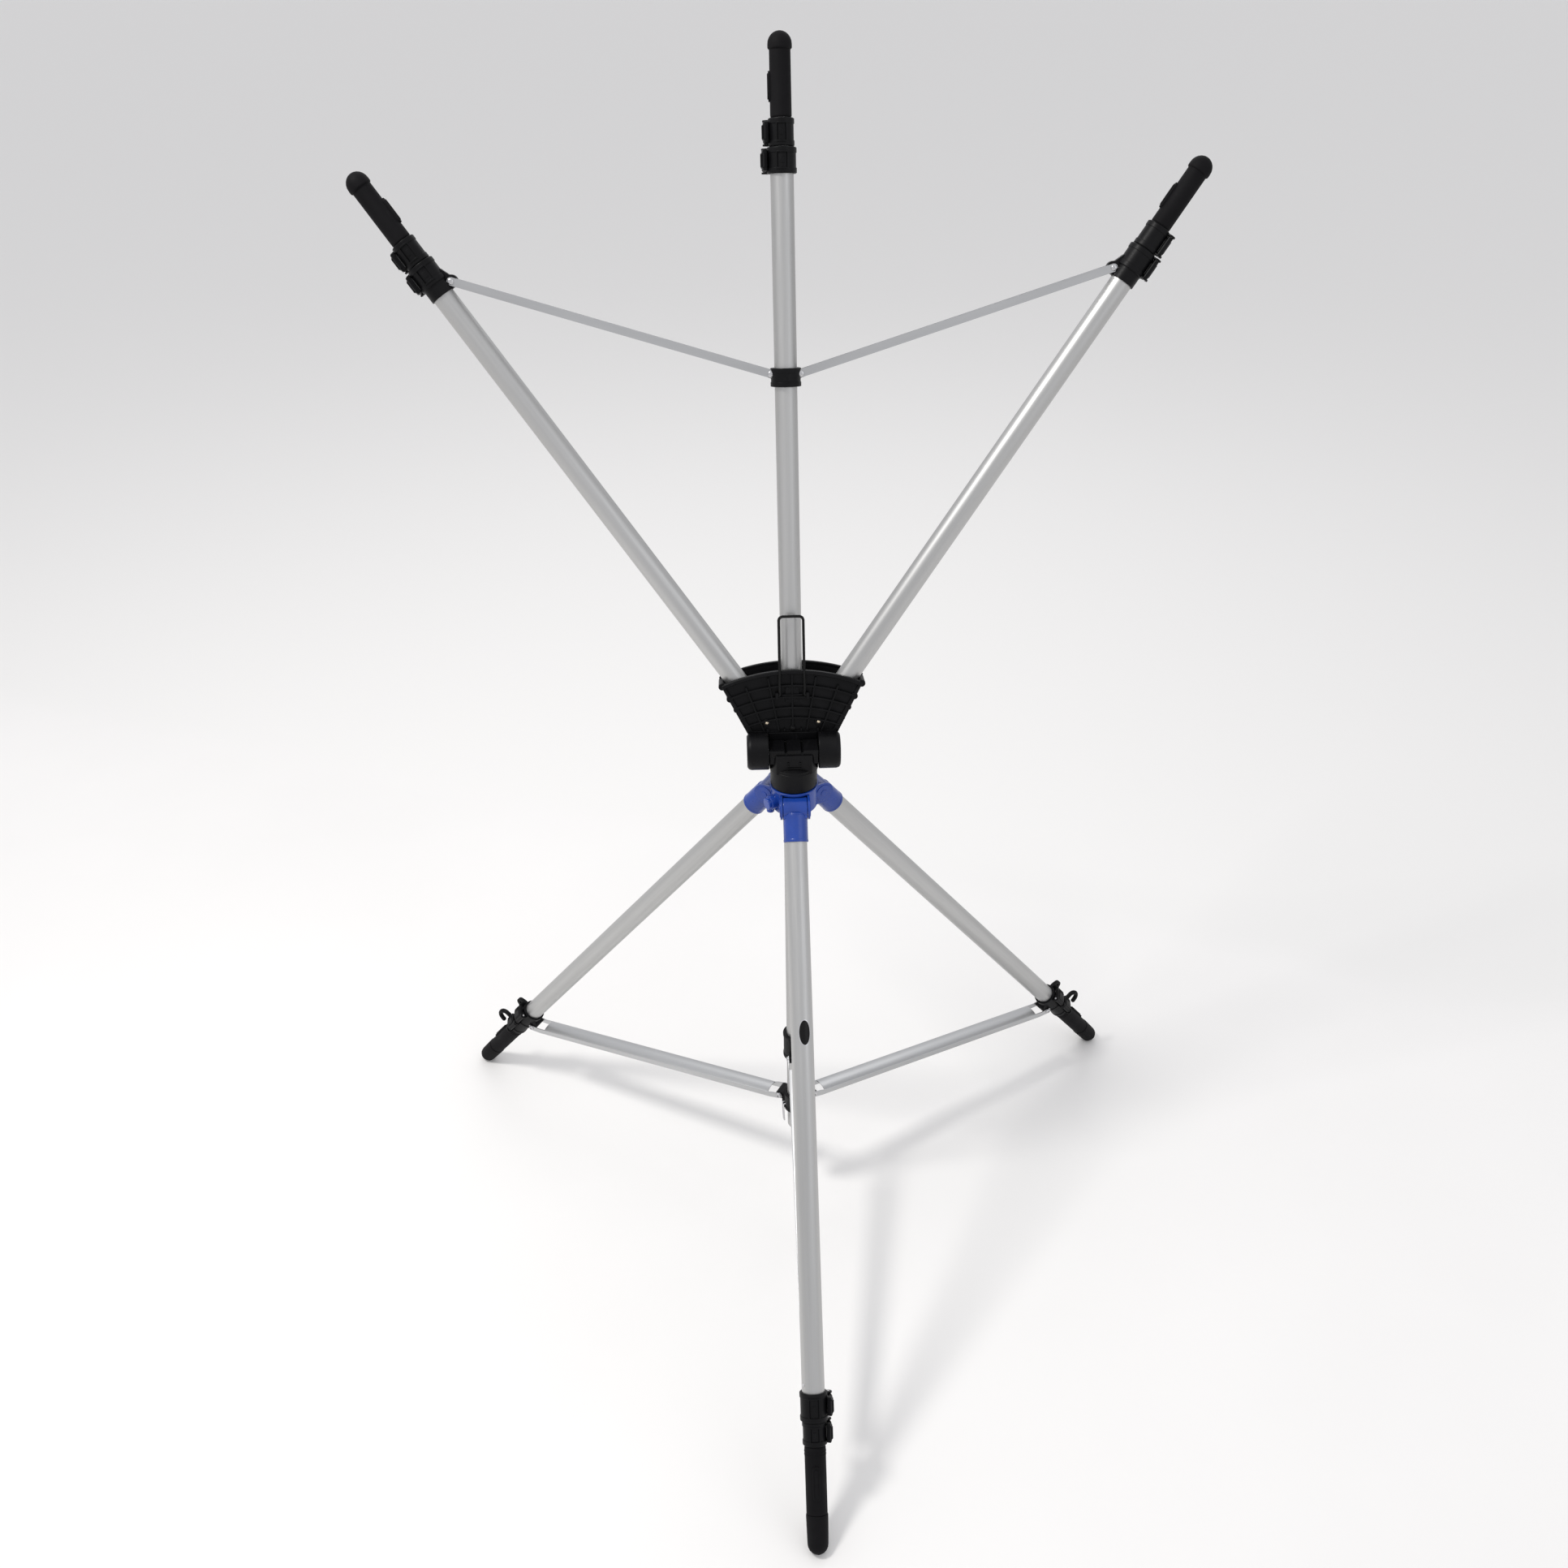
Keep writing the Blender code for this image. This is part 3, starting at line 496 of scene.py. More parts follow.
def piece(name, parts, kind, matrix, body, node=None):
    """Joins the parts into one shown piece that rides on a body and may stand for a CAD node."""
    bm = bmesh.new()
    for part in parts:
        bm.from_mesh(part)
    mesh = bpy.data.meshes.new(name)
    bm.to_mesh(mesh)
    bm.free()
    mesh.transform(Matrix.Scale(MM, 4))
    mesh.materials.clear()
    mesh.materials.append(MATERIALS[kind])
    mesh.shade_smooth()
    mesh.set_sharp_from_angle(angle=math.radians(SHARP_ANGLE))
    made = bpy.data.objects.new(name, mesh)
    bpy.context.scene.collection.objects.link(made)
    made.matrix_world = matrix
    weighted = made.modifiers.new("even_normals", "WEIGHTED_NORMAL")
    weighted.keep_sharp = True
    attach(made, body)
    if node:
        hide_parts(node)
    return made


# ---- fasteners ------------------------------------------------------------------


def screw_head(radius=3.9):
    """A pan head with a cross recess, its seat at z = 0."""
    k = radius / 3.9
    profile = [(0.8 * k, -0.6), (3.9 * k, -0.6), (3.9 * k, 0.8 * k), (3.2 * k, 1.7 * k)]
    profile += [(1.9 * k, 2.15 * k), (0.4 * k, 2.3 * k)]
    head = turned(profile, soft=0.3, sides=28)
    slot = 0.42 * k
    cross = [block((-2.1 * k, -slot, 1.0 * k), (2.1 * k, slot, 4.0), soft=0)]
    cross.append(block((-slot, -2.1 * k, 1.0 * k), (slot, 2.1 * k, 4.0), soft=0))
    return fuse(head, cut=cross)


def screws(name, spots, matrix, body, radius=3.9, kind="zinc"):
    """Screw heads at (position, outward direction), as one piece."""
    parts = []
    for spot, outward in spots:
        turn = Vector((0, 0, 1)).rotation_difference(Vector(outward)).to_matrix().to_4x4()
        parts.append(moved(screw_head(radius), Matrix.Translation(Vector(spot)) @ turn))
    return piece(name, parts, kind, matrix, body)


# ---- frames of the moving bodies -------------------------------------------------


def axes(origin, y, z):
    """A frame, in metres, with its local Y and Z along the given directions."""
    y, z = Vector(y).normalized(), Vector(z).normalized()
    x = y.cross(z)
    turn = Matrix((x, y, z)).transposed().to_4x4()
    return Matrix.Translation(Vector(origin)) @ turn


def leg_frame(name):
    """Local Z down the leg and local X its upper side, as in the CAD model."""
    fold = JOINTS[name + "_leg_fold"]
    return axes(fold["pos_m"], -Vector(fold["axis"]), JOINTS[name + "_leg_extend"]["axis"])


def leg_length(matrix):
    return (matrix.translation.z / MM - FOOT_CENTRE_HEIGHT) / -matrix.col[2].z


def head_frame():
    """Local Y up the middle arm and local Z to the front, on the tilt axis."""
    return axes(TILT_AXIS, JOINTS["mid_arm_extend"]["axis"], JOINTS["right_arm_fold"]["axis"])


def arm_frame(name):
    """Local Z up the arm and local X its outer side."""
    head = head_frame()
    along = JOINTS[name + "_arm_extend"]["axis"]
    if name == "mid":
        origin = head @ Vector((0, MID_ARM_START * MM, ARM_PLANE * MM))
        return axes(origin, head.col[2].to_3d(), along)
    fold = JOINTS[name + "_arm_fold"]
    return axes(fold["pos_m"], -Vector(fold["axis"]), along)


# ---- telescoping tubes and flip clamps --------------------------------------------


def clamp_ring(radius, bore, low, high):
    """A clamp's moulded ring with two raised hoops and a split rib."""
    parts = [ring(bore, radius - 0.7, low, high, 0.6)]
    for middle in (low + 3.2, high - 3.2):
        parts.append(ring(bore + 0.6, radius, middle - 2.6, middle + 2.6, 0.5))
    return parts


def window(radius, angle, low, high):
    """The moulded frame round the slot through which the clamp's pad shows."""
    middle, half = (low + high) / 2, (high - low) / 2 - 4.0
    parts = [sector(radius - 2, radius + 0.7, angle - 24, angle - 19, middle - half, middle + half)]
    parts.append(sector(radius - 2, radius + 0.7, angle + 19, angle + 24, middle - half, middle + half))
    for end in (-1, 1):
        edge = sorted((middle + end * half, middle + end * (half - 1.8)))
        parts.append(sector(radius - 2, radius + 0.7, angle - 23, angle + 23, *edge))
    parts.append(sector(radius - 2, radius - 0.2, angle - 9, angle + 9, middle - 3.2, middle + 3.2))
    return parts


def lever_hinge(radius, side, hand):
    angle = math.radians(side - 28.0 * hand)
    return (radius + 3.6) * math.cos(angle), (radius + 3.6) * math.sin(angle)


def hinge_ears(radius, side, hand, middle):
    """Ears that hold the lever's barrel, each on a small foot."""
    x, y = lever_hinge(radius, side, hand)
    parts = []
    for low, high in ((middle - 12.7, middle - 10.8), (middle + 10.8, middle + 12.7)):
        parts.append(rod((x, y, low), (x, y, high), 4.3, soft=0.4))
        root = side - 28.0 * hand
        parts.append(sector(radius - 2, radius + 2.2, root - 15, root + 15, low, high))
    return parts


def flip_lever(name, radius, side, hand, middle, matrix, body):
    """The cam lever: a curved blade with finger ridges, a barrel and a steel pin."""
    x, y = lever_hinge(radius, side, hand)
    blade = sector(radius + 0.6, radius + 5.6, side - 25, side + 25, middle - 10.4, middle + 10.4, 0.8)
    raised = sector(radius + 5.0, radius + 6.5, side - 16, side + 23, middle - 7.6, middle + 7.6, 0.7)
    parts = [blade, raised, rod((x, y, middle - 10.4), (x, y, middle + 10.4), 3.0, soft=0.3)]
    for step in (9, 14, 19):
        angle = side + step * hand
        ridge = (angle - 1, angle + 1, middle - 6.6, middle + 6.6)
        parts.append(sector(radius + 6.0, radius + 7.2, *ridge, 0.3, 2))
    lip = sorted((side + 24 * hand, side + 30 * hand))
    parts.append(sector(radius + 3.6, radius + 6.2, *lip, middle - 7.0, middle + 7.0, 0.7, 4))
    piece(name + "_blade", parts, "plastic", matrix, body, name)
    pin = rod((x, y, middle - 13.1), (x, y, middle + 13.1), 1.4, soft=0.3, sides=20)
    piece(name + "_pin", [pin], "zinc", matrix, body)


def tube(radius, wall, low, high):
    profile = [(radius, low), (radius, high), (radius - wall, high), (radius - wall, low)]
    return turned(profile, hollow=True, soft=0.25)


def telescope(prefix, matrix, bodies, radius, start, outer, inner, side, hand, lugs, knobs):
    """Both shown tubes, both clamps and both levers of an arm or a leg."""
    body, middle_body = bodies
    shown = tube(radius, 1.0, start, outer[2] - 4.3)
    piece(prefix + "_outer_tube_fine", [shown], "aluminium", matrix, body, prefix + "_outer_tube")
    parts = clamp_ring(outer[0], radius + 0.2, outer[1], outer[2])
    parts.append(ring(radius - 1.0, outer[0] - 1.5, outer[2] - 2.0, outer[2] + 0.1, 0.4))
    middle = (outer[1] + outer[2]) / 2
    parts += hinge_ears(outer[0], side, hand, middle) + lugs
    parts += window(outer[0], side + 90 * hand, outer[1], outer[2])
    node = prefix + "_outer_clamp"
    piece(node + "_fine", parts, "plastic", matrix, body, node)
    flip_lever(prefix + "_outer_lever", outer[0], side, hand, middle, matrix, prefix + "_outer_lever_body")

    inside = tube(radius - 1.3, 1.0, MIDDLE_TUBE_START, inner[1] + 2.0)
    node = prefix + "_mid_section"
    piece(prefix + "_middle_tube", [inside], "aluminium", matrix, middle_body, node)
    parts = clamp_ring(inner[0], radius - 2.3, inner[1], inner[2])
    middle = (inner[1] + inner[2]) / 2
    parts += hinge_ears(inner[0], side, hand, middle) + knobs
    parts += window(inner[0], side + 90 * hand, inner[1], inner[2])
    piece(prefix + "_inner_clamp", parts, "plastic", matrix, middle_body)
    flip_lever(prefix + "_inner_lever", inner[0], side, hand, middle, matrix, prefix + "_inner_lever_body")


def spring_button(radius, side, low, high):
    """A raised strip with a rounded outline and a finger dip, lying on a grip."""
    half = 4.2
    strip = [(low + half, -half), (high - half, -half)]
    strip += arc((high - half, 0), half, -90, 90, 10)[1:-1] + [(high - half, half), (low + half, half)]
    strip += arc((low + half, 0), half, 90, 270, 10)[1:-1]
    base = slab(strip, radius - 2.5, radius + 1.7, soft=0.6)
    dip = [((a - (low + high) / 2) * 0.84 + (low + high) / 2, b * 0.5) for a, b in strip]
    ridge = slab(dip, radius - 1.5, radius + 2.7, soft=0.6)
    stand = Matrix(((0, 0, 1, 0), (0, 1, 0, 0), (1, 0, 0, 0), (0, 0, 0, 1)))
    return [spun(moved(part, stand), side) for part in (base, ridge)]


# ---- legs ---------------------------------------------------------------------------


def brace_lug(length):
    """The wide lug below a leg's clamp, ribbed, with its flanks blending into the ring."""
    drop, station = BRACE_EAR_DROP, length + BRACE_EAR_STATION
    parts = [rod((-drop, -9.8, station), (-drop, 9.8, station), 5.5, soft=0.5)]
    parts.append(block((-drop - 1.0, -9.8, station - 5.2), (-8.0, 9.8, station + 5.2), 0.8))
    for side in (-1, 1):
        low, high = sided(side, 9.8, 6.6)
        fillet = [(-9.0, station - 14.0), (-12.5, station - 11.0), (-19.5, station - 3.0)]
        fillet += [(-19.5, station + 3.0), (-12.5, station + 9.0), (-9.0, station + 10.0)]
        parts.append(slab(fillet, low, high, "xz", soft=0.7))
    return parts


def eyelet(length):
    """The flat flange with a round hole on a rear leg's clamp."""
    station = length + EYELET_STATION
    outline = [(12.0, station - 8.3), (20.0, station - 7.8)]
    outline += arc((23.0, station), 6.4, -70, 80, 10) + [(17.0, station + 11.0), (12.0, station + 16.0)]
    plate = slab(outline, -2.3, 2.3, "xz", soft=0.5)
    hole = rod((23.5, -8, station), (23.5, 8, station), 1.8, soft=0)
    rib = slab([(13.0, station + 6.0), (19.0, station + 5.0), (13.0, station + 17.0)], -3.0, 3.0, "xz", 0.6)
    return [fuse(plate, cut=[hole]), rib]


def bag_hook(length):
    """A round hook that stands up and curls over towards the foot."""
    station, radius, crest = length + HOOK_STATION, 8.5, 25.0
    points = [(11.0, 0.0, station), (18.0, 0.0, station)]
    for step in range(8):
        turn = math.radians(180.0 - 25.0 * step)
        rise, run = radius * math.sin(turn), radius * math.cos(turn)
        points.append((crest + rise, 0.0, station + radius + run))
    points.append((22.5, 0.0, station + 2 * radius + 0.4))
    root = spun(turned([(1.0, 0), (5.0, 0), (3.6, 3.2), (1.0, 3.2)], soft=0.8), 90, "Y")
    return [swept(points, 3.3), shifted(root, 12.5, 0, station)]


def foot_pieces(prefix, matrix, length, body):
    """The hidden inner tube, the ribbed grip with its button, and the rubber foot."""
    inside = tube(LEG_TUBE - 2.6, 1.0, LAST_TUBE_START, length - 100.0)
    node = prefix + "_foot_section"
    piece(prefix + "_inner_tube", [inside], "aluminium", matrix, body, node)
    seam = length - 33.0
    grip = [(8.0, length - 108.3), (11.2, length - 108.3), (12.25, length - 106.0)]
    grip += [(12.1, seam - 0.4), (10.5, seam - 0.4)]
    parts = [turned(grip, soft=0.6)] + spring_button(12.1, 0.0, length - 88.0, length - 50.0)
    for station in (length - 102.0, length - 98.5):
        parts.append(ring(11, 12.6, station - 0.8, station + 0.8, 0.5))
    piece(prefix + "_grip", parts, "rubber", matrix, body)
    cap = [(8.0, seam), (12.2, seam), (12.7, seam + 1.6), (12.3, length - 12.0), (FOOT_RADIUS, length)]
    tip = dome(FOOT_RADIUS, FOOT_RADIUS, length, (0.3, 0.6, 0.9, 1.2, 1.45))
    foot = turned(softened(cap, 0.6) + tip, soft=0)
    to_floor = matrix.copy()
    to_floor.translation = to_floor.translation / MM
    for vert in foot.vertices:  # the dome is cut flat where it meets the floor
        place = to_floor @ vert.co
        if place.z < 0.0:
            place.z = 0.0
            vert.co = to_floor.inverted() @ place
    piece(prefix + "_rubber_foot", [foot], "rubber", matrix, body)


def socket_pieces(prefix, matrix, body):
    """The blue leg socket: a lipped sleeve, its hinge eye and a moulding line."""
    profile = [(13.2, 8.0), (14.4, 8.0), (14.4, 36.5), (14.7, 37.3), (14.7, 40.0), (13.25, 40.0)]
    parts = [turned(profile, hollow=True, soft=0.6)]
    parts.append(turned([(5, 3), (13.6, 6), (14.3, 12), (5, 12)], soft=1.0))
    parts.append(rod((0, -14.4, 0), (0, 14.4, 0), 12.9, soft=1.2, sides=SIDES))
    for side in (-1, 1):
        low, high = sided(side, 14.4, 4.0)
        parts.append(block((-9.0, low, 0.0), (9.0, high, 13.0), 1.5))
    piece(prefix + "_socket_fine", parts, "blue", matrix, body, prefix + "_socket")


def badge(matrix):
    """A blank oval badge that follows the front leg's tube, with a bright rim."""
    station, angle, rows, columns = 261.0, -12.0, 12, 32
    plates = {"badge_rim": ((7.6, 15.2, 0.16), "zinc"), "badge_face": ((6.5, 14.1, 0.30), "wire")}
    for name, ((wide, tall, rise), kind) in plates.items():
        bm = bmesh.new()
        reach = LEG_TUBE + rise
        grid = []
        for i in range(1, rows + 1):
            line = []
            for j in range(columns):
                turn = math.tau * j / columns
                across = wide * i / rows * math.cos(turn) / reach + math.radians(angle)
                up = station + tall * i / rows * math.sin(turn)
                line.append(bm.verts.new((reach * math.cos(across), reach * math.sin(across), up)))
            grid.append(line)
        base = []
        for j in range(columns):
            turn = math.tau * j / columns
            across = wide * math.cos(turn) / reach + math.radians(angle)
            place = ((reach - 0.5) * math.cos(across), (reach - 0.5) * math.sin(across))
            base.append(bm.verts.new((*place, station + tall * math.sin(turn))))
        bm.faces.new(grid[0])
        for one, two in zip(grid, grid[1:] + [base]):
            for j in range(columns):
                after = (j + 1) % columns
                bm.faces.new((one[j], one[after], two[after], two[j]))
        bm.faces.new(base)
        piece(name, [to_mesh(bm)], kind, matrix, "front_leg")


def add_leg(name):
    prefix, matrix = name + "_leg", leg_frame(name)
    length = leg_length(matrix)
    side, hand = LEG_LEVERS[name]
    rear = name != "front"
    radius, low, high = LEG_OUTER_CLAMP
    outer = (radius, length + low, length + high)
    radius, low, high = LEG_INNER_CLAMP
    inner = (radius, length + low, length + high)
    lugs = brace_lug(length) + (eyelet(length) if rear else [])
    knobs = bag_hook(length) if rear else []
    bodies = (prefix, prefix + "_mid")
    socket_pieces(prefix, matrix, prefix)
    telescope(prefix, matrix, bodies, LEG_TUBE, 14.8, outer, inner, side, hand, lugs, knobs)
    foot_pieces(prefix, matrix, length, prefix + "_foot")
    pin = length + BRACE_EAR_STATION
    spots = [((-BRACE_EAR_DROP, s * 11.5, pin), (0, s, 0)) for s in (-1, 1)]
    screws(name + "_brace_screws", spots, matrix, prefix)
    if not rear:
        rivet = turned([(0.4, -0.5), (2.0, -0.5), (2.0, 0.5), (0.4, 1.3)], soft=0.3, sides=24)
        rivet = shifted(spun(rivet, -90, "X"), 0, -LEG_TUBE, 0)
        rivet = shifted(spun(rivet, 150), 0, 0, length - 176.0)
        piece("front_leg_rivet", [rivet], "zinc", matrix, prefix)
        badge(matrix)


def add_brace(name):
    """The pressed channel from a leg's clamp to its collar, pin to pin."""
    fold = JOINTS[name + "_brace_fold"]
    ear = Vector(fold["pos_m"])
    turn = math.radians(LEG_AZIMUTHS[name])
    out = Vector((math.cos(turn), math.sin(turn), 0)) * COLLAR_PIVOT_RADIUS * MM
    pin = COLUMN.translation + out + Vector((0, 0, COLLAR_PIVOTS[name] * MM))
    reach = pin - ear
    matrix = axes(ear, Vector(fold["axis"]), reach)
    length, half, sheet = reach.length / MM, BRACE_HALF_WIDTH, BRACE_SHEET
    up = 1 if (matrix.to_3x3() @ Vector((1, 0, 0))).z > 0 else -1
    parts = []
    for side in (-1, 1):
        low, high = sided(side, half, half - sheet)
        outline = side_plate(length, 5.0, 6.6, 1.2, up)
        parts.append(slab(outline, low, high, "xz", soft=0.25))
    crown = [(half, 0.2), (half - 0.6, 1.4), (6.5, 3.0), (0, 3.6)]
    crown += [(-6.5, 3.0), (-half + 0.6, 1.4), (-half, 0.2)]
    under = [(-half + sheet, 0.0), (-6.0, 1.9), (0, 2.5), (6.0, 1.9), (half - sheet, 0.0)]
    web = [(b * up, a) for a, b in crown + under]
    parts.append(slab(web, BRACE_WEB_START, length - 17.0, "xy", soft=0.2))
    piece(name + "_brace_fine", parts, "sheet_aluminium", matrix, name + "_brace", name + "_brace")
    spots = [((0, s * half, length), (0, s, 0)) for s in (-1, 1)]
    screws(name + "_collar_screws", spots, matrix, name + "_brace")


def side_plate(length, radius, deep, shallow, up):
    """A channel's flank as (up, along): rounded about both pins, deeper between them."""
    lower = [(-radius, 0.0), (-deep, 14.0), (-deep, length - 14.0), (-radius, length)]
    far = [(radius * math.cos(a), length + radius * math.sin(a)) for a in (2.6, 2.1, 1.57, 1.0, 0.5)]
    upper = [(shallow + 1.4, length - 12.0), (shallow, length - 17.0)]
    upper += [(shallow, BRACE_WEB_START), (shallow, 12.0)]
    near = [(radius * math.cos(a), radius * math.sin(a)) for a in (-0.5, -1.0, -1.57, -2.1, -2.6)]
    return [(a * up, b) for a, b in lower + far + upper + near]


# ---- column, collars, hub and neck ------------------------------------------------------


def turn_about_column(degrees):
    return Matrix.Rotation(math.radians(degrees), 4, "Z")


def add_column():
    shown = tube(12.5, 1.3, 117.9, 659.7)
    piece("column_fine", [shown], "aluminium", COLUMN, "base", "column")
    profile = [(1.0, 114.0), (8.0, 114.2), (11.2, 115.3), (12.4, 117.8), (10.5, 118.0), (10.5, 132.0)]
    piece("column_plug_fine", [turned(profile, soft=0.8)], "grey", COLUMN, "base", "column_plug")


def collar_pieces(node, low, high, pivot, azimuths):
    """A sliding collar: a hooped ring with ribbed lugs for the braces."""
    parts = [ring(COLUMN_BORE, 16.6, low, high, 0.8)]
    for middle in (low + 2.6, high - 2.6):
        parts.append(ring(14.0, 17.3, middle - 2.4, middle + 2.4, 0.6))
    for azimuth in azimuths:
        turn = turn_about_column(azimuth)
        reach = COLLAR_PIVOT_RADIUS
        lug = [rod((reach, -9.8, pivot), (reach, 9.8, pivot), 5.5)]
        lug.append(block((12.9, -9.8, pivot - 5.4), (reach, 9.8, pivot + 5.4), 0.8))
        for side in (-1, 1):
            edge = sided(side, 9.8, 7.4)
            lug.append(block((13.5, edge[0], low + 1.0), (17.6, edge[1], high - 1.0), 0.5))
        parts += [moved(part, turn) for part in lug]
    piece(node + "_fine", parts, "plastic", COLUMN, node, node)


def add_collars():
    collar_pieces("upper_collar", 247.0, 286.0, COLLAR_PIVOTS["front"], [-90])
    collar_pieces("lower_collar", 150.0, 177.8, COLLAR_PIVOTS["rear_left"], [30, 150])
    wire = [(16.4, -2.4, 160.5), (19.0, -2.4, 160.5), (19.6, -2.4, 158.0), (18.6, -2.4, 130.5)]
    wire += [(18.1, -1.3, 128.2), (18.1, 1.3, 128.2), (18.6, 2.4, 130.5), (19.6, 2.4, 158.0)]
    wire += [(19.0, 2.4, 160.5), (16.4, 2.4, 160.5)]
    clip = moved(swept(wire, 0.9), turn_about_column(-165))
    piece("wire_clip_fine", [clip], "zinc", COLUMN, "lower_collar", "wire_clip")


def add_hub():
    """The blue hub: a core with a rolled rim, three forks and their pin discs."""
    height, radius = HUB_HEIGHT, HUB_REACH
    core = [(13.0, 652.0), (26.0, 652.0), (28.0, 655.0)]
    core = turned(core + [(28.0, 684.0), (20.5, 684.0), (20.5, 690.0)], soft=1.2)
    adds, slots, rims = [], [], []
    for azimuth in LEG_AZIMUTHS.values():
        turn = turn_about_column(azimuth)
        cheek = block((4.0, -17.5, height - 13.4), (radius, 17.5, height + 13.4), soft=0)
        knuckle = rod((radius, -17.5, height), (radius, 17.5, height), 13.4, soft=0, sides=SIDES)
        slot = block((16.4, -14.8, 630.0), (80.0, 14.8, height + 13.9), soft=0)
        adds += [moved(cheek, turn), moved(knuckle, turn)]
        slots.append(moved(slot, turn))
        for side in (-1, 1):
            disc = rod((radius, side * 16.6, height), (radius, side * 18.3, height), 10.6, 0.7, SIDES)
            pin = rod((radius, side * 17.6, height), (radius, side * 18.9, height), 4.2, 0.6)
            rims += [moved(disc, turn), moved(pin, turn)]
    body = fuse(core, add=adds, cut=slots)
    roll = ring(25.5, 28.9, 680.5, 684.0, 0.9)
    hub = piece("hub_fine", [body, roll] + rims, "blue", COLUMN, "base", "hub")
    bevel = hub.modifiers.new("soft_edges", "BEVEL")
    bevel.width = 0.7 * MM
    bevel.segments = 2
    bevel.limit_method = "ANGLE"
    bevel.angle_limit = math.radians(50)
    bevel.use_clamp_overlap = True
    hub.modifiers.move(len(hub.modifiers) - 1, 0)
    plug = [rod((26.0, 0, 666), (38.6, 0, 666), 7.4, soft=1.2)]
    plug.append(rod((26.0, 0, 666), (34.8, 0, 666), 8.6, soft=0.9))
    plug.append(rod((33.0, 0, 654.5), (33.0, 0, 664), 4.6, soft=0.8))
    plug = [moved(part, turn_about_column(-150)) for part in plug]
    piece("hub_lock_fine", plug, "blue", COLUMN, "base", "hub_lock")


def add_neck():
    """The turning neck with its barrel, notched ledge and moulded marks."""
    matrix = COLUMN @ Matrix.Translation((0, 0, TILT_AXIS.z))
    sleeve = [(20.4, -43.6), (26.9, -43.6), (27.8, -42.6), (27.8, -19.2)]
    sleeve += [(27.0, -18.9), (27.0, -16.0), (20.4, -13.5)]
    parts = [turned(sleeve, hollow=True, soft=0.5)]
    plan = arc((0, 0), 29.2, -134.6, -168.4, 6)[::-1] + arc((0, 0), 29.2, -45.4, -11.6, 6)
    plan += [(28.6, 12.0), (-28.6, 12.0)]
    parts.append(slab(plan, -21.0, 5.0, soft=0.8, segments=3))
    outline = [(-17.0, -8.0), (-18.6, 5.0), (-17.2, 7.6), (8.0, 7.6)]
    outline += arc((0, 0), 21.6, 68, -30, 16) + [(14.0, -21.0)]
    parts.append(slab(outline, -28.6, 28.6, "yz", soft=0.9, segments=3))
    for low, high in ((-28.4, -10.8), (-8.2, 8.2), (10.8, 28.4)):
        parts.append(block((low, -18.6, 2.0), (high, 7.0, 10.9), 0.7))
    for height, half in ((-15.2, 8.0), (-12.0, 8.4)):
        parts.append(block((-half, -22.0, height), (half, -20.2, height + 1.4), 0.3))
    for across in (-7.0, 7.0):
        for height in (-7.6, -4.6):
            parts.append(rod((across, -22.2, height), (across, -20.2, height), 1.2, soft=0.3, sides=16))
    piece("neck_fine", parts, "plastic", matrix, "neck", "neck")
    piece("tilt_pin_fine", [rod((-48, 0, 0), (48, 0, 0), 4.0)], "zinc", matrix, "neck", "tilt_pin")


# ---- head ------------------------------------------------------------------------------


def flank(height):
    """Half the width of the fan-shaped shell at a height above the tilt axis."""
    return 50.0 + 33.0 * (height - 20.0) / 58.0


def fan_arc(crown, trim):
    """Points of an arc across the fan whose middle is at height crown, from right to left."""
    radius, centre = 211.0 - (95.0 - crown), -116.0
    half = 0.0
    while True:  # the arc is widened until it meets the flank
        across = radius * math.sin(half)
        height = centre + radius * math.cos(half)
        if across >= flank(height) - trim:
            break
        half += 0.002
    turns = [half - 2 * half * i / FAN_STEPS for i in range(FAN_STEPS + 1)]
    return [(radius * math.sin(a), centre + radius * math.cos(a)) for a in turns]


def fan_ribs(crowns, levels, face, proud):
    """Raised ribs across and along the fan, on the face at the given depth."""
    low, high = sorted((face, face + proud))
    parts = []
    for crown in crowns:
        upper, lower = fan_arc(crown + 1.1, 0.5), fan_arc(crown - 1.1, 0.5)
        parts.append(slab(upper + lower[::-1], low, high, soft=0.6))
    for lean in (-20.6, -10.3, 0.0, 10.3, 20.6):
        start, end = levels
        turn = math.radians(lean)
        top = end - abs(lean) * 0.33
        bar = slab([(-1.1, start), (1.1, start), (1.1, top), (-1.1, top)], low, high, soft=0.6)
        parts.append(shifted(moved(bar, Matrix.Rotation(-turn, 4, "Z")), 0, -68.0, 0))
    return parts


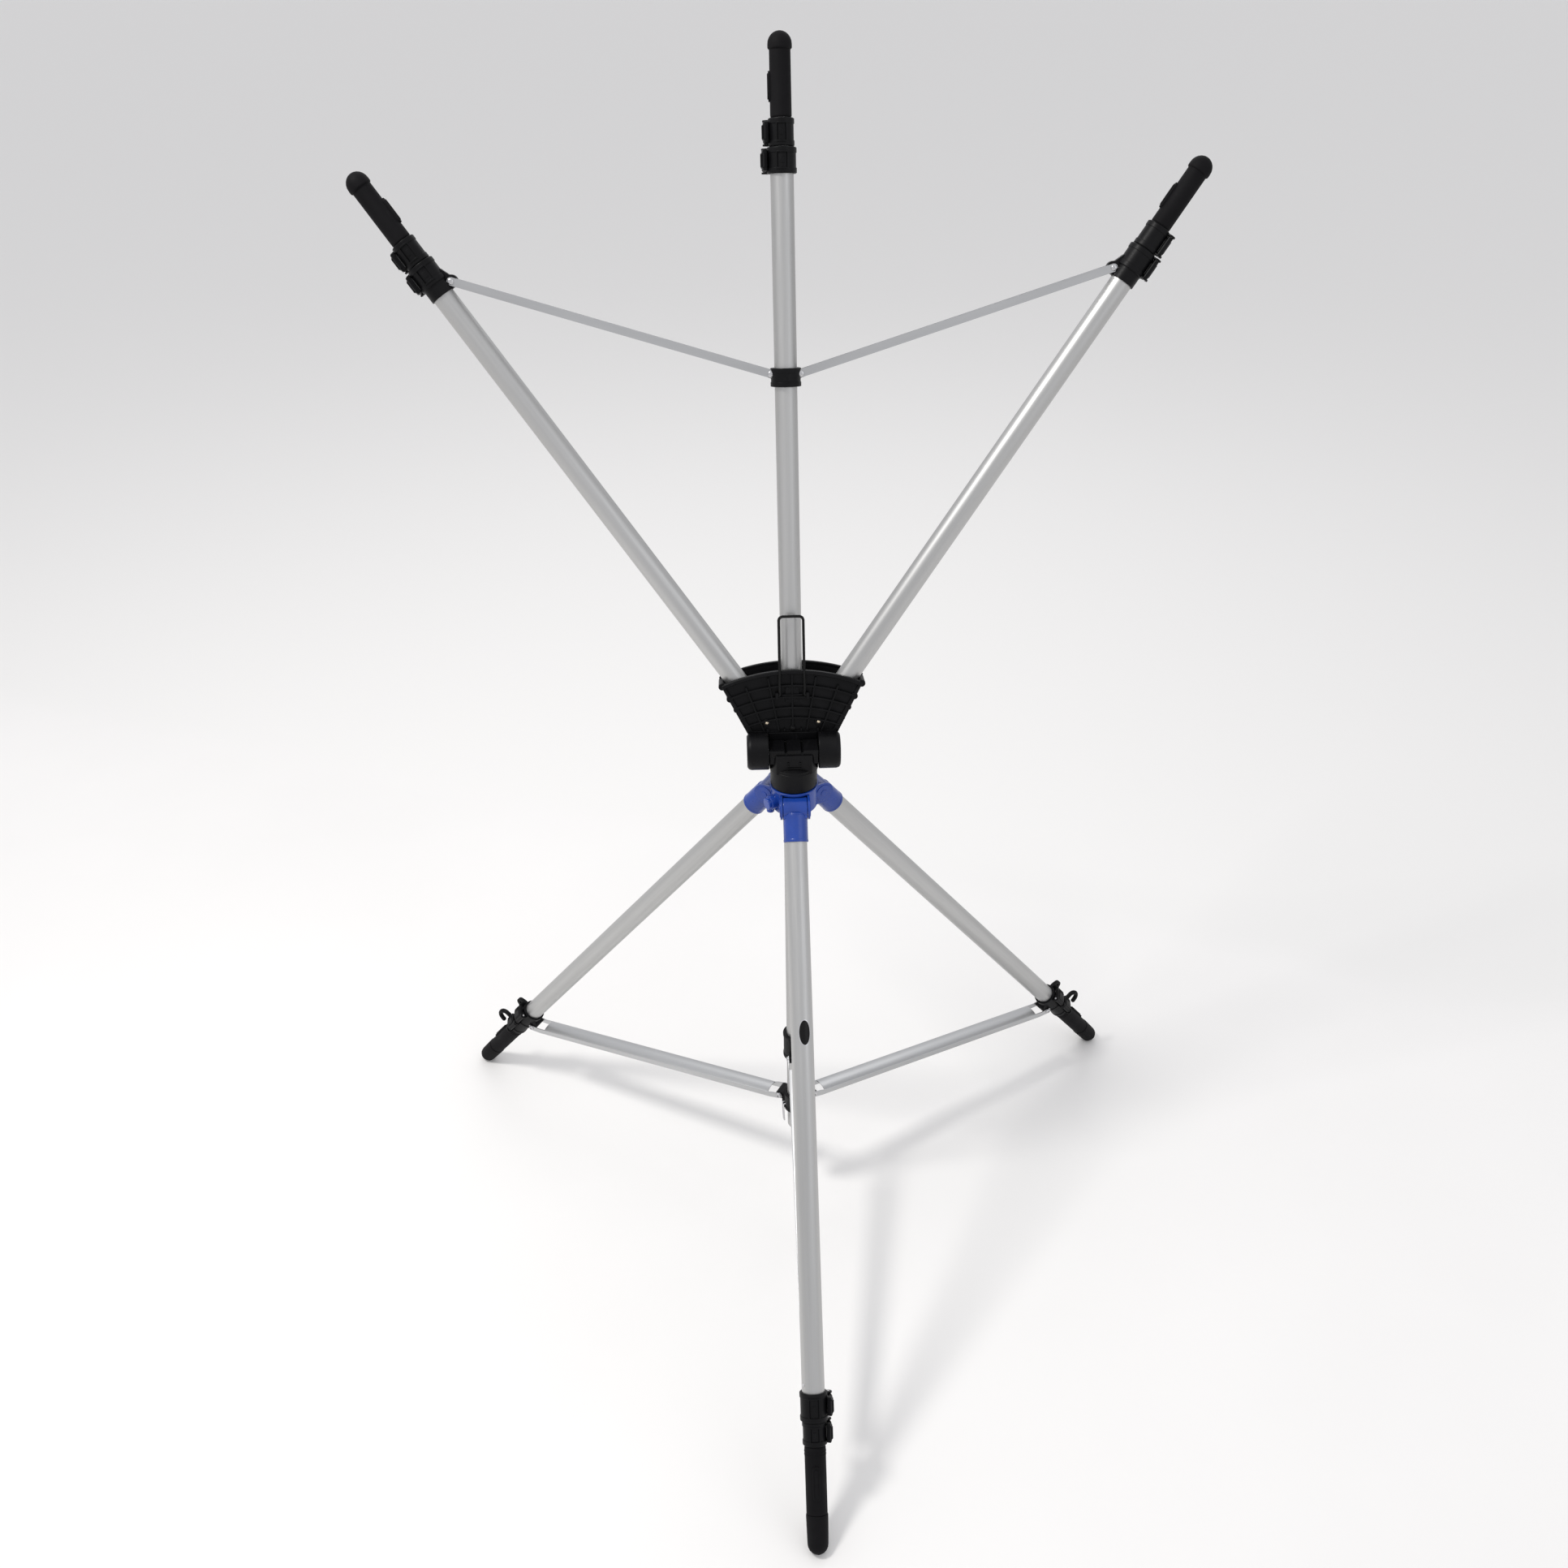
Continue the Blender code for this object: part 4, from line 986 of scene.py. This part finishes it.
def shell_parts(crown, face, seam):
    """One shell: its plate, flanks with scalloped bumps, rolled top edge and foot wall."""
    toward = 1 if seam > face else -1
    plate_depth = sorted((face + 2.6 * toward, face + 4.4 * toward))
    top = fan_arc(crown, 0.0)
    outline = top + [(-50.0, 12.0), (50.0, 12.0)]
    parts = [slab(outline, *plate_depth, soft=0.8)]
    rim_low, rim_high = sorted((face - 2.0 * toward, face + 4.4 * toward))
    upper, lower = fan_arc(crown, 0.5), fan_arc(crown - 5.0, 0.0)
    parts.append(slab(upper + lower[::-1], rim_low, rim_high, soft=1.6, segments=3))
    span = sorted((face, seam))
    for side in (-1, 1):
        edge = [(50.0, 12.0), (50.0, 20.0), (81.6, 75.6), (78.6, 77.2), (46.9, 21.5), (46.9, 12.0)]
        parts.append(slab([(side * a, b) for a, b in edge], *span, soft=0.7))
        for height, reach in ((24.0, 2.8), (36.0, 3.3), (48.5, 3.6), (61.5, 3.9), (76.6, 4.2)):
            across = side * (flank(height) - 0.8)
            ends = (span[0] - 0.6, span[1] - 0.3) if toward < 0 else (span[0] + 0.3, span[1] + 0.6)
            parts.append(rod((across, height, ends[0]), (across, height, ends[1]), reach, soft=0.9))
    parts.append(block((-49.5, 12.0, span[0]), (49.5, 15.2, span[1]), 0.6))
    return parts


def add_head():
    matrix = head_frame()
    parts = shell_parts(*FRONT_SHELL)
    parts += fan_ribs((76.5, 63.0, 50.0, 37.5), (92.0, 160.0), -10.8, 3.9)
    parts.append(slab([(-50, 8), (50, 8), (50, 22), (-50, 22)], -24.0, -8.8, soft=0.8))
    for across in (-29.6, -9.9, 9.9, 29.6):
        parts.append(block((across - 1.1, 8.4, -9.4), (across + 1.1, 25.0, -6.6), 0.5))
    for side in (-1, 1):
        barrel = [(4.5, 0), (21.0, 0), (21.7, 0.7), (21.7, 21.0), (20.6, 24.0), (18.2, 25.7)]
        barrel += [(16.8, 25.7), (16.2, 24.4), (2.0, 24.4)]
        barrel = spun(turned(barrel, soft=0.8), 90 * side, "Y")
        parts.append(shifted(barrel, side * 29.0, 0, 0))
        ledge = sided(side, 32.5, 46.0)
        parts.append(block((ledge[0], 8.0, -14.0), (ledge[1], 15.5, 14.5), 1.0))
        boss = sided(side, 15.9, 19.9)
        parts.append(block((boss[0], 61.0, -9.0), (boss[1], 69.0, -3.0), 1.2))
    parts.append(block((-12.0, 64.6, -10.8), (12.0, 66.4, -6.0), 0.4))
    parts.append(block((-8.0, 56.0, -10.8), (8.0, 76.0, -8.2), 0.5))
    for across in (-5.4, 5.4):
        for height in (58.8, 73.2):
            parts.append(rod((across, height, -9.0), (across, height, -6.9), 1.5, soft=0.4, sides=16))
    rivet_x, rivet_y = ARM_RIVET
    for x, y, radius in ((-rivet_x, rivet_y, 4.6), (rivet_x, rivet_y, 4.6), (0.0, 24.5, 3.6)):
        parts.append(rod((x, y, -10.9), (x, y, -8.2), radius, soft=0.6))
    piece("head_front_fine", parts, "plastic", matrix, "head", "head_front")
    parts = shell_parts(*BACK_SHELL)
    parts += fan_ribs((82.0, 68.0, 54.0, 40.0, 26.0), (86.0, 163.0), -39.2, -3.9)
    parts.append(block((-15.0, 46.0, -41.0), (15.0, 60.0, -38.5), 0.5))
    piece("head_back_fine", parts, "plastic", matrix, "head", "head_back")
    parts = []
    rivet = [(0.3, -0.4), (2.2, -0.4), (2.1, 0.4), (1.0, 1.2), (0.3, 1.2)]
    for x in (-rivet_x, rivet_x):
        for face, turn in ((-7.9, 0), (-42.1, 180)):
            end = turned(rivet, soft=0.4, sides=28)
            parts.append(shifted(spun(end, turn, "X"), x, rivet_y, face))
        parts.append(rod((x, rivet_y, -38.0), (x, rivet_y, -9.0), 2.2, sides=20))
    piece("arm_pivot_rivets", parts, "brass", matrix, "head")
    screws("head_screw", [((0, 24.5, -8.0), (0, 0, 1))], matrix, "head", 2.4, "wire")


def add_bail():
    """The wire bail, bent from one rod, lying on the head's front."""
    swing = Vector(JOINTS["bail_swing"]["pos_m"])
    matrix = head_frame()
    matrix.translation = swing
    reach, height, turn = BAIL_REACH, 93.5, 5.0
    right = [(18.2, 0, 0), (15.4, 0, 0), (reach, 1.6, 0), (reach, height - turn, 0)]
    right += [(reach - turn + x, height - turn + y, 0) for x, y in arc((0, 0), turn, 20, 90, 5)]
    points = right + [(-x, y, z) for x, y, z in reversed(right)]
    piece("wire_bail_fine", [swept(points, 1.65, ends=False)], "wire", matrix, "bail", "wire_bail")


def arm_lug():
    """The small lug that a strut hinges on, with its web on the clamp's skirt."""
    drop, station = ARM_EAR
    skirt = ring(12.7, 14.2, 589.5, 605.0, 0.4)
    outline = [(-12.6, station - 6.5), (-drop + 1.0, station - 6.8)]
    outline += arc((-drop - 0.6, station), 6.8, -80, -250, 10)
    outline += [(-15.5, station + 17.0), (-12.6, station + 20.0)]
    return [skirt, slab(outline, -4.1, 4.1, "xz", soft=0.5)]


def tip_pieces(name, prefix, matrix, body):
    """An arm's inner tube, its soft sleeve with the spring button, and the domed cap."""
    inside = tube(ARM_TUBE - 2.6, 1.0, LAST_TUBE_START, 680.0)
    piece(prefix + "_inner_tube", [inside], "aluminium", matrix, body, prefix + "_tip_section")
    sleeve = [(9.0, 657.9), (10.8, 657.9), (11.4, 659.5), (11.2, 723.9), (9.0, 723.9)]
    parts = [turned(sleeve, soft=0.5)]
    parts += spring_button(11.1, 0.0 if name == "mid" else 180.0, 673.0, 703.0)
    piece(prefix + "_grip", parts, "rubber", matrix, body)
    cap = [(6.0, 723.2), (11.9, 723.2), (12.8, 724.4), (12.8, 727.6)]
    tip = dome(12.8, 13.0, 728.0, (0.25, 0.5, 0.75, 1.0, 1.25, 1.48))
    piece(prefix + "_cap", [turned(softened(cap, 0.6) + tip, soft=0)], "rubber", matrix, body)


def add_arm(name):
    prefix, matrix = name + "_arm", arm_frame(name)
    side_arm = name != "mid"
    body = prefix if side_arm else "head"
    outer, inner = ARM_OUTER_CLAMP, ARM_INNER_CLAMP
    lugs = arm_lug() if side_arm else []
    start = -8.0 if side_arm else 0.0
    telescope(prefix, matrix, (body, prefix + "_mid"), ARM_TUBE, start, outer, inner, 0.0, 1, lugs, [])
    tip_pieces(name, prefix, matrix, prefix + "_tip")
    if side_arm:
        drop, station = ARM_EAR
        spots = [((-drop, s * 5.5, station), (0, s, 0)) for s in (-1, 1)]
        screws(name + "_strut_screws", spots, matrix, prefix, 3.4)


def add_strut(name, side):
    """The light channel from an arm's lug to the slide collar, pin to pin, open on its upper side."""
    head = head_frame()
    fold = JOINTS[name + "_strut_fold"]
    ear = Vector(fold["pos_m"])
    pin = head @ (Vector((side * STRUT_PIVOT[0], STRUT_PIVOT[1], ARM_PLANE)) * MM)
    matrix = axes(ear, head.col[2].to_3d(), pin - ear)
    length = (pin - ear).length / MM
    down = 1 if (matrix.to_3x3() @ Vector((1, 0, 0))).z < 0 else -1
    parts = []
    for way in (-1, 1):
        low, high = sorted((way * 5.5, way * 4.5))
        outline = [(4.4 * math.cos(a), 4.4 * math.sin(a)) for a in (0, -0.6, -1.2, -1.9, -2.5, -3.1)]
        outline += [(4.4 * math.cos(a), length + 4.4 * math.sin(a)) for a in (3.1, 2.5, 1.9, 1.2, 0.6, 0)]
        parts.append(slab(outline, low, high, "xz", soft=0.2))
    web = sorted((down * 2.8, down * 3.7))
    parts.append(block((web[0], -5.3, 9.0), (web[1], 5.3, length - 9.0), 0.25))
    piece(name + "_strut_fine", parts, "sheet_aluminium", matrix, name + "_strut", name + "_strut")
    spots = [((0, way * 5.5, length), (0, way, 0)) for way in (-1, 1)]
    screws(name + "_slide_screws", spots, matrix, name + "_strut", 3.4)


def add_slide_collar():
    head = head_frame()
    matrix = head @ Matrix.Translation(Vector((0, SLIDE_START, ARM_PLANE)) * MM)
    parts = [ring(12.75, 16.4, 0.0, 20.0, 0.7)]
    for middle in (2.6, 17.4):
        parts.append(ring(14.0, 17.0, middle - 2.4, middle + 2.4, 0.5))
    parts = [spun(part, -90, "X") for part in parts]
    lift = STRUT_PIVOT[1] - SLIDE_START
    for side in (-1, 1):
        lug = [(side * 13.5, lift - 6.5), (side * 17.6, lift - 4.5)]
        nose = [(17.6 + 4.5 * math.cos(a), 4.5 * math.sin(a)) for a in (-1.2, -0.6, 0, 0.6, 1.2)]
        lug += [(side * x, lift + y) for x, y in nose]
        lug += [(side * 17.6, lift + 4.5), (side * 13.5, lift + 5.5)]
        parts.append(slab(lug, -4.0, 4.0, soft=0.5))
    piece("slide_collar_fine", parts, "plastic", matrix, "slide_collar", "slide_collar")


def main():
    add_camera()
    add_lights()
    add_floor()
    add_column()
    add_collars()
    add_hub()
    add_neck()
    for name in LEG_AZIMUTHS:
        add_leg(name)
        add_brace(name)
    add_head()
    add_bail()
    for name in ("left", "mid", "right"):
        add_arm(name)
    add_strut("left", -1)
    add_strut("right", 1)
    add_slide_collar()


main()
bpy.context.view_layer.update()
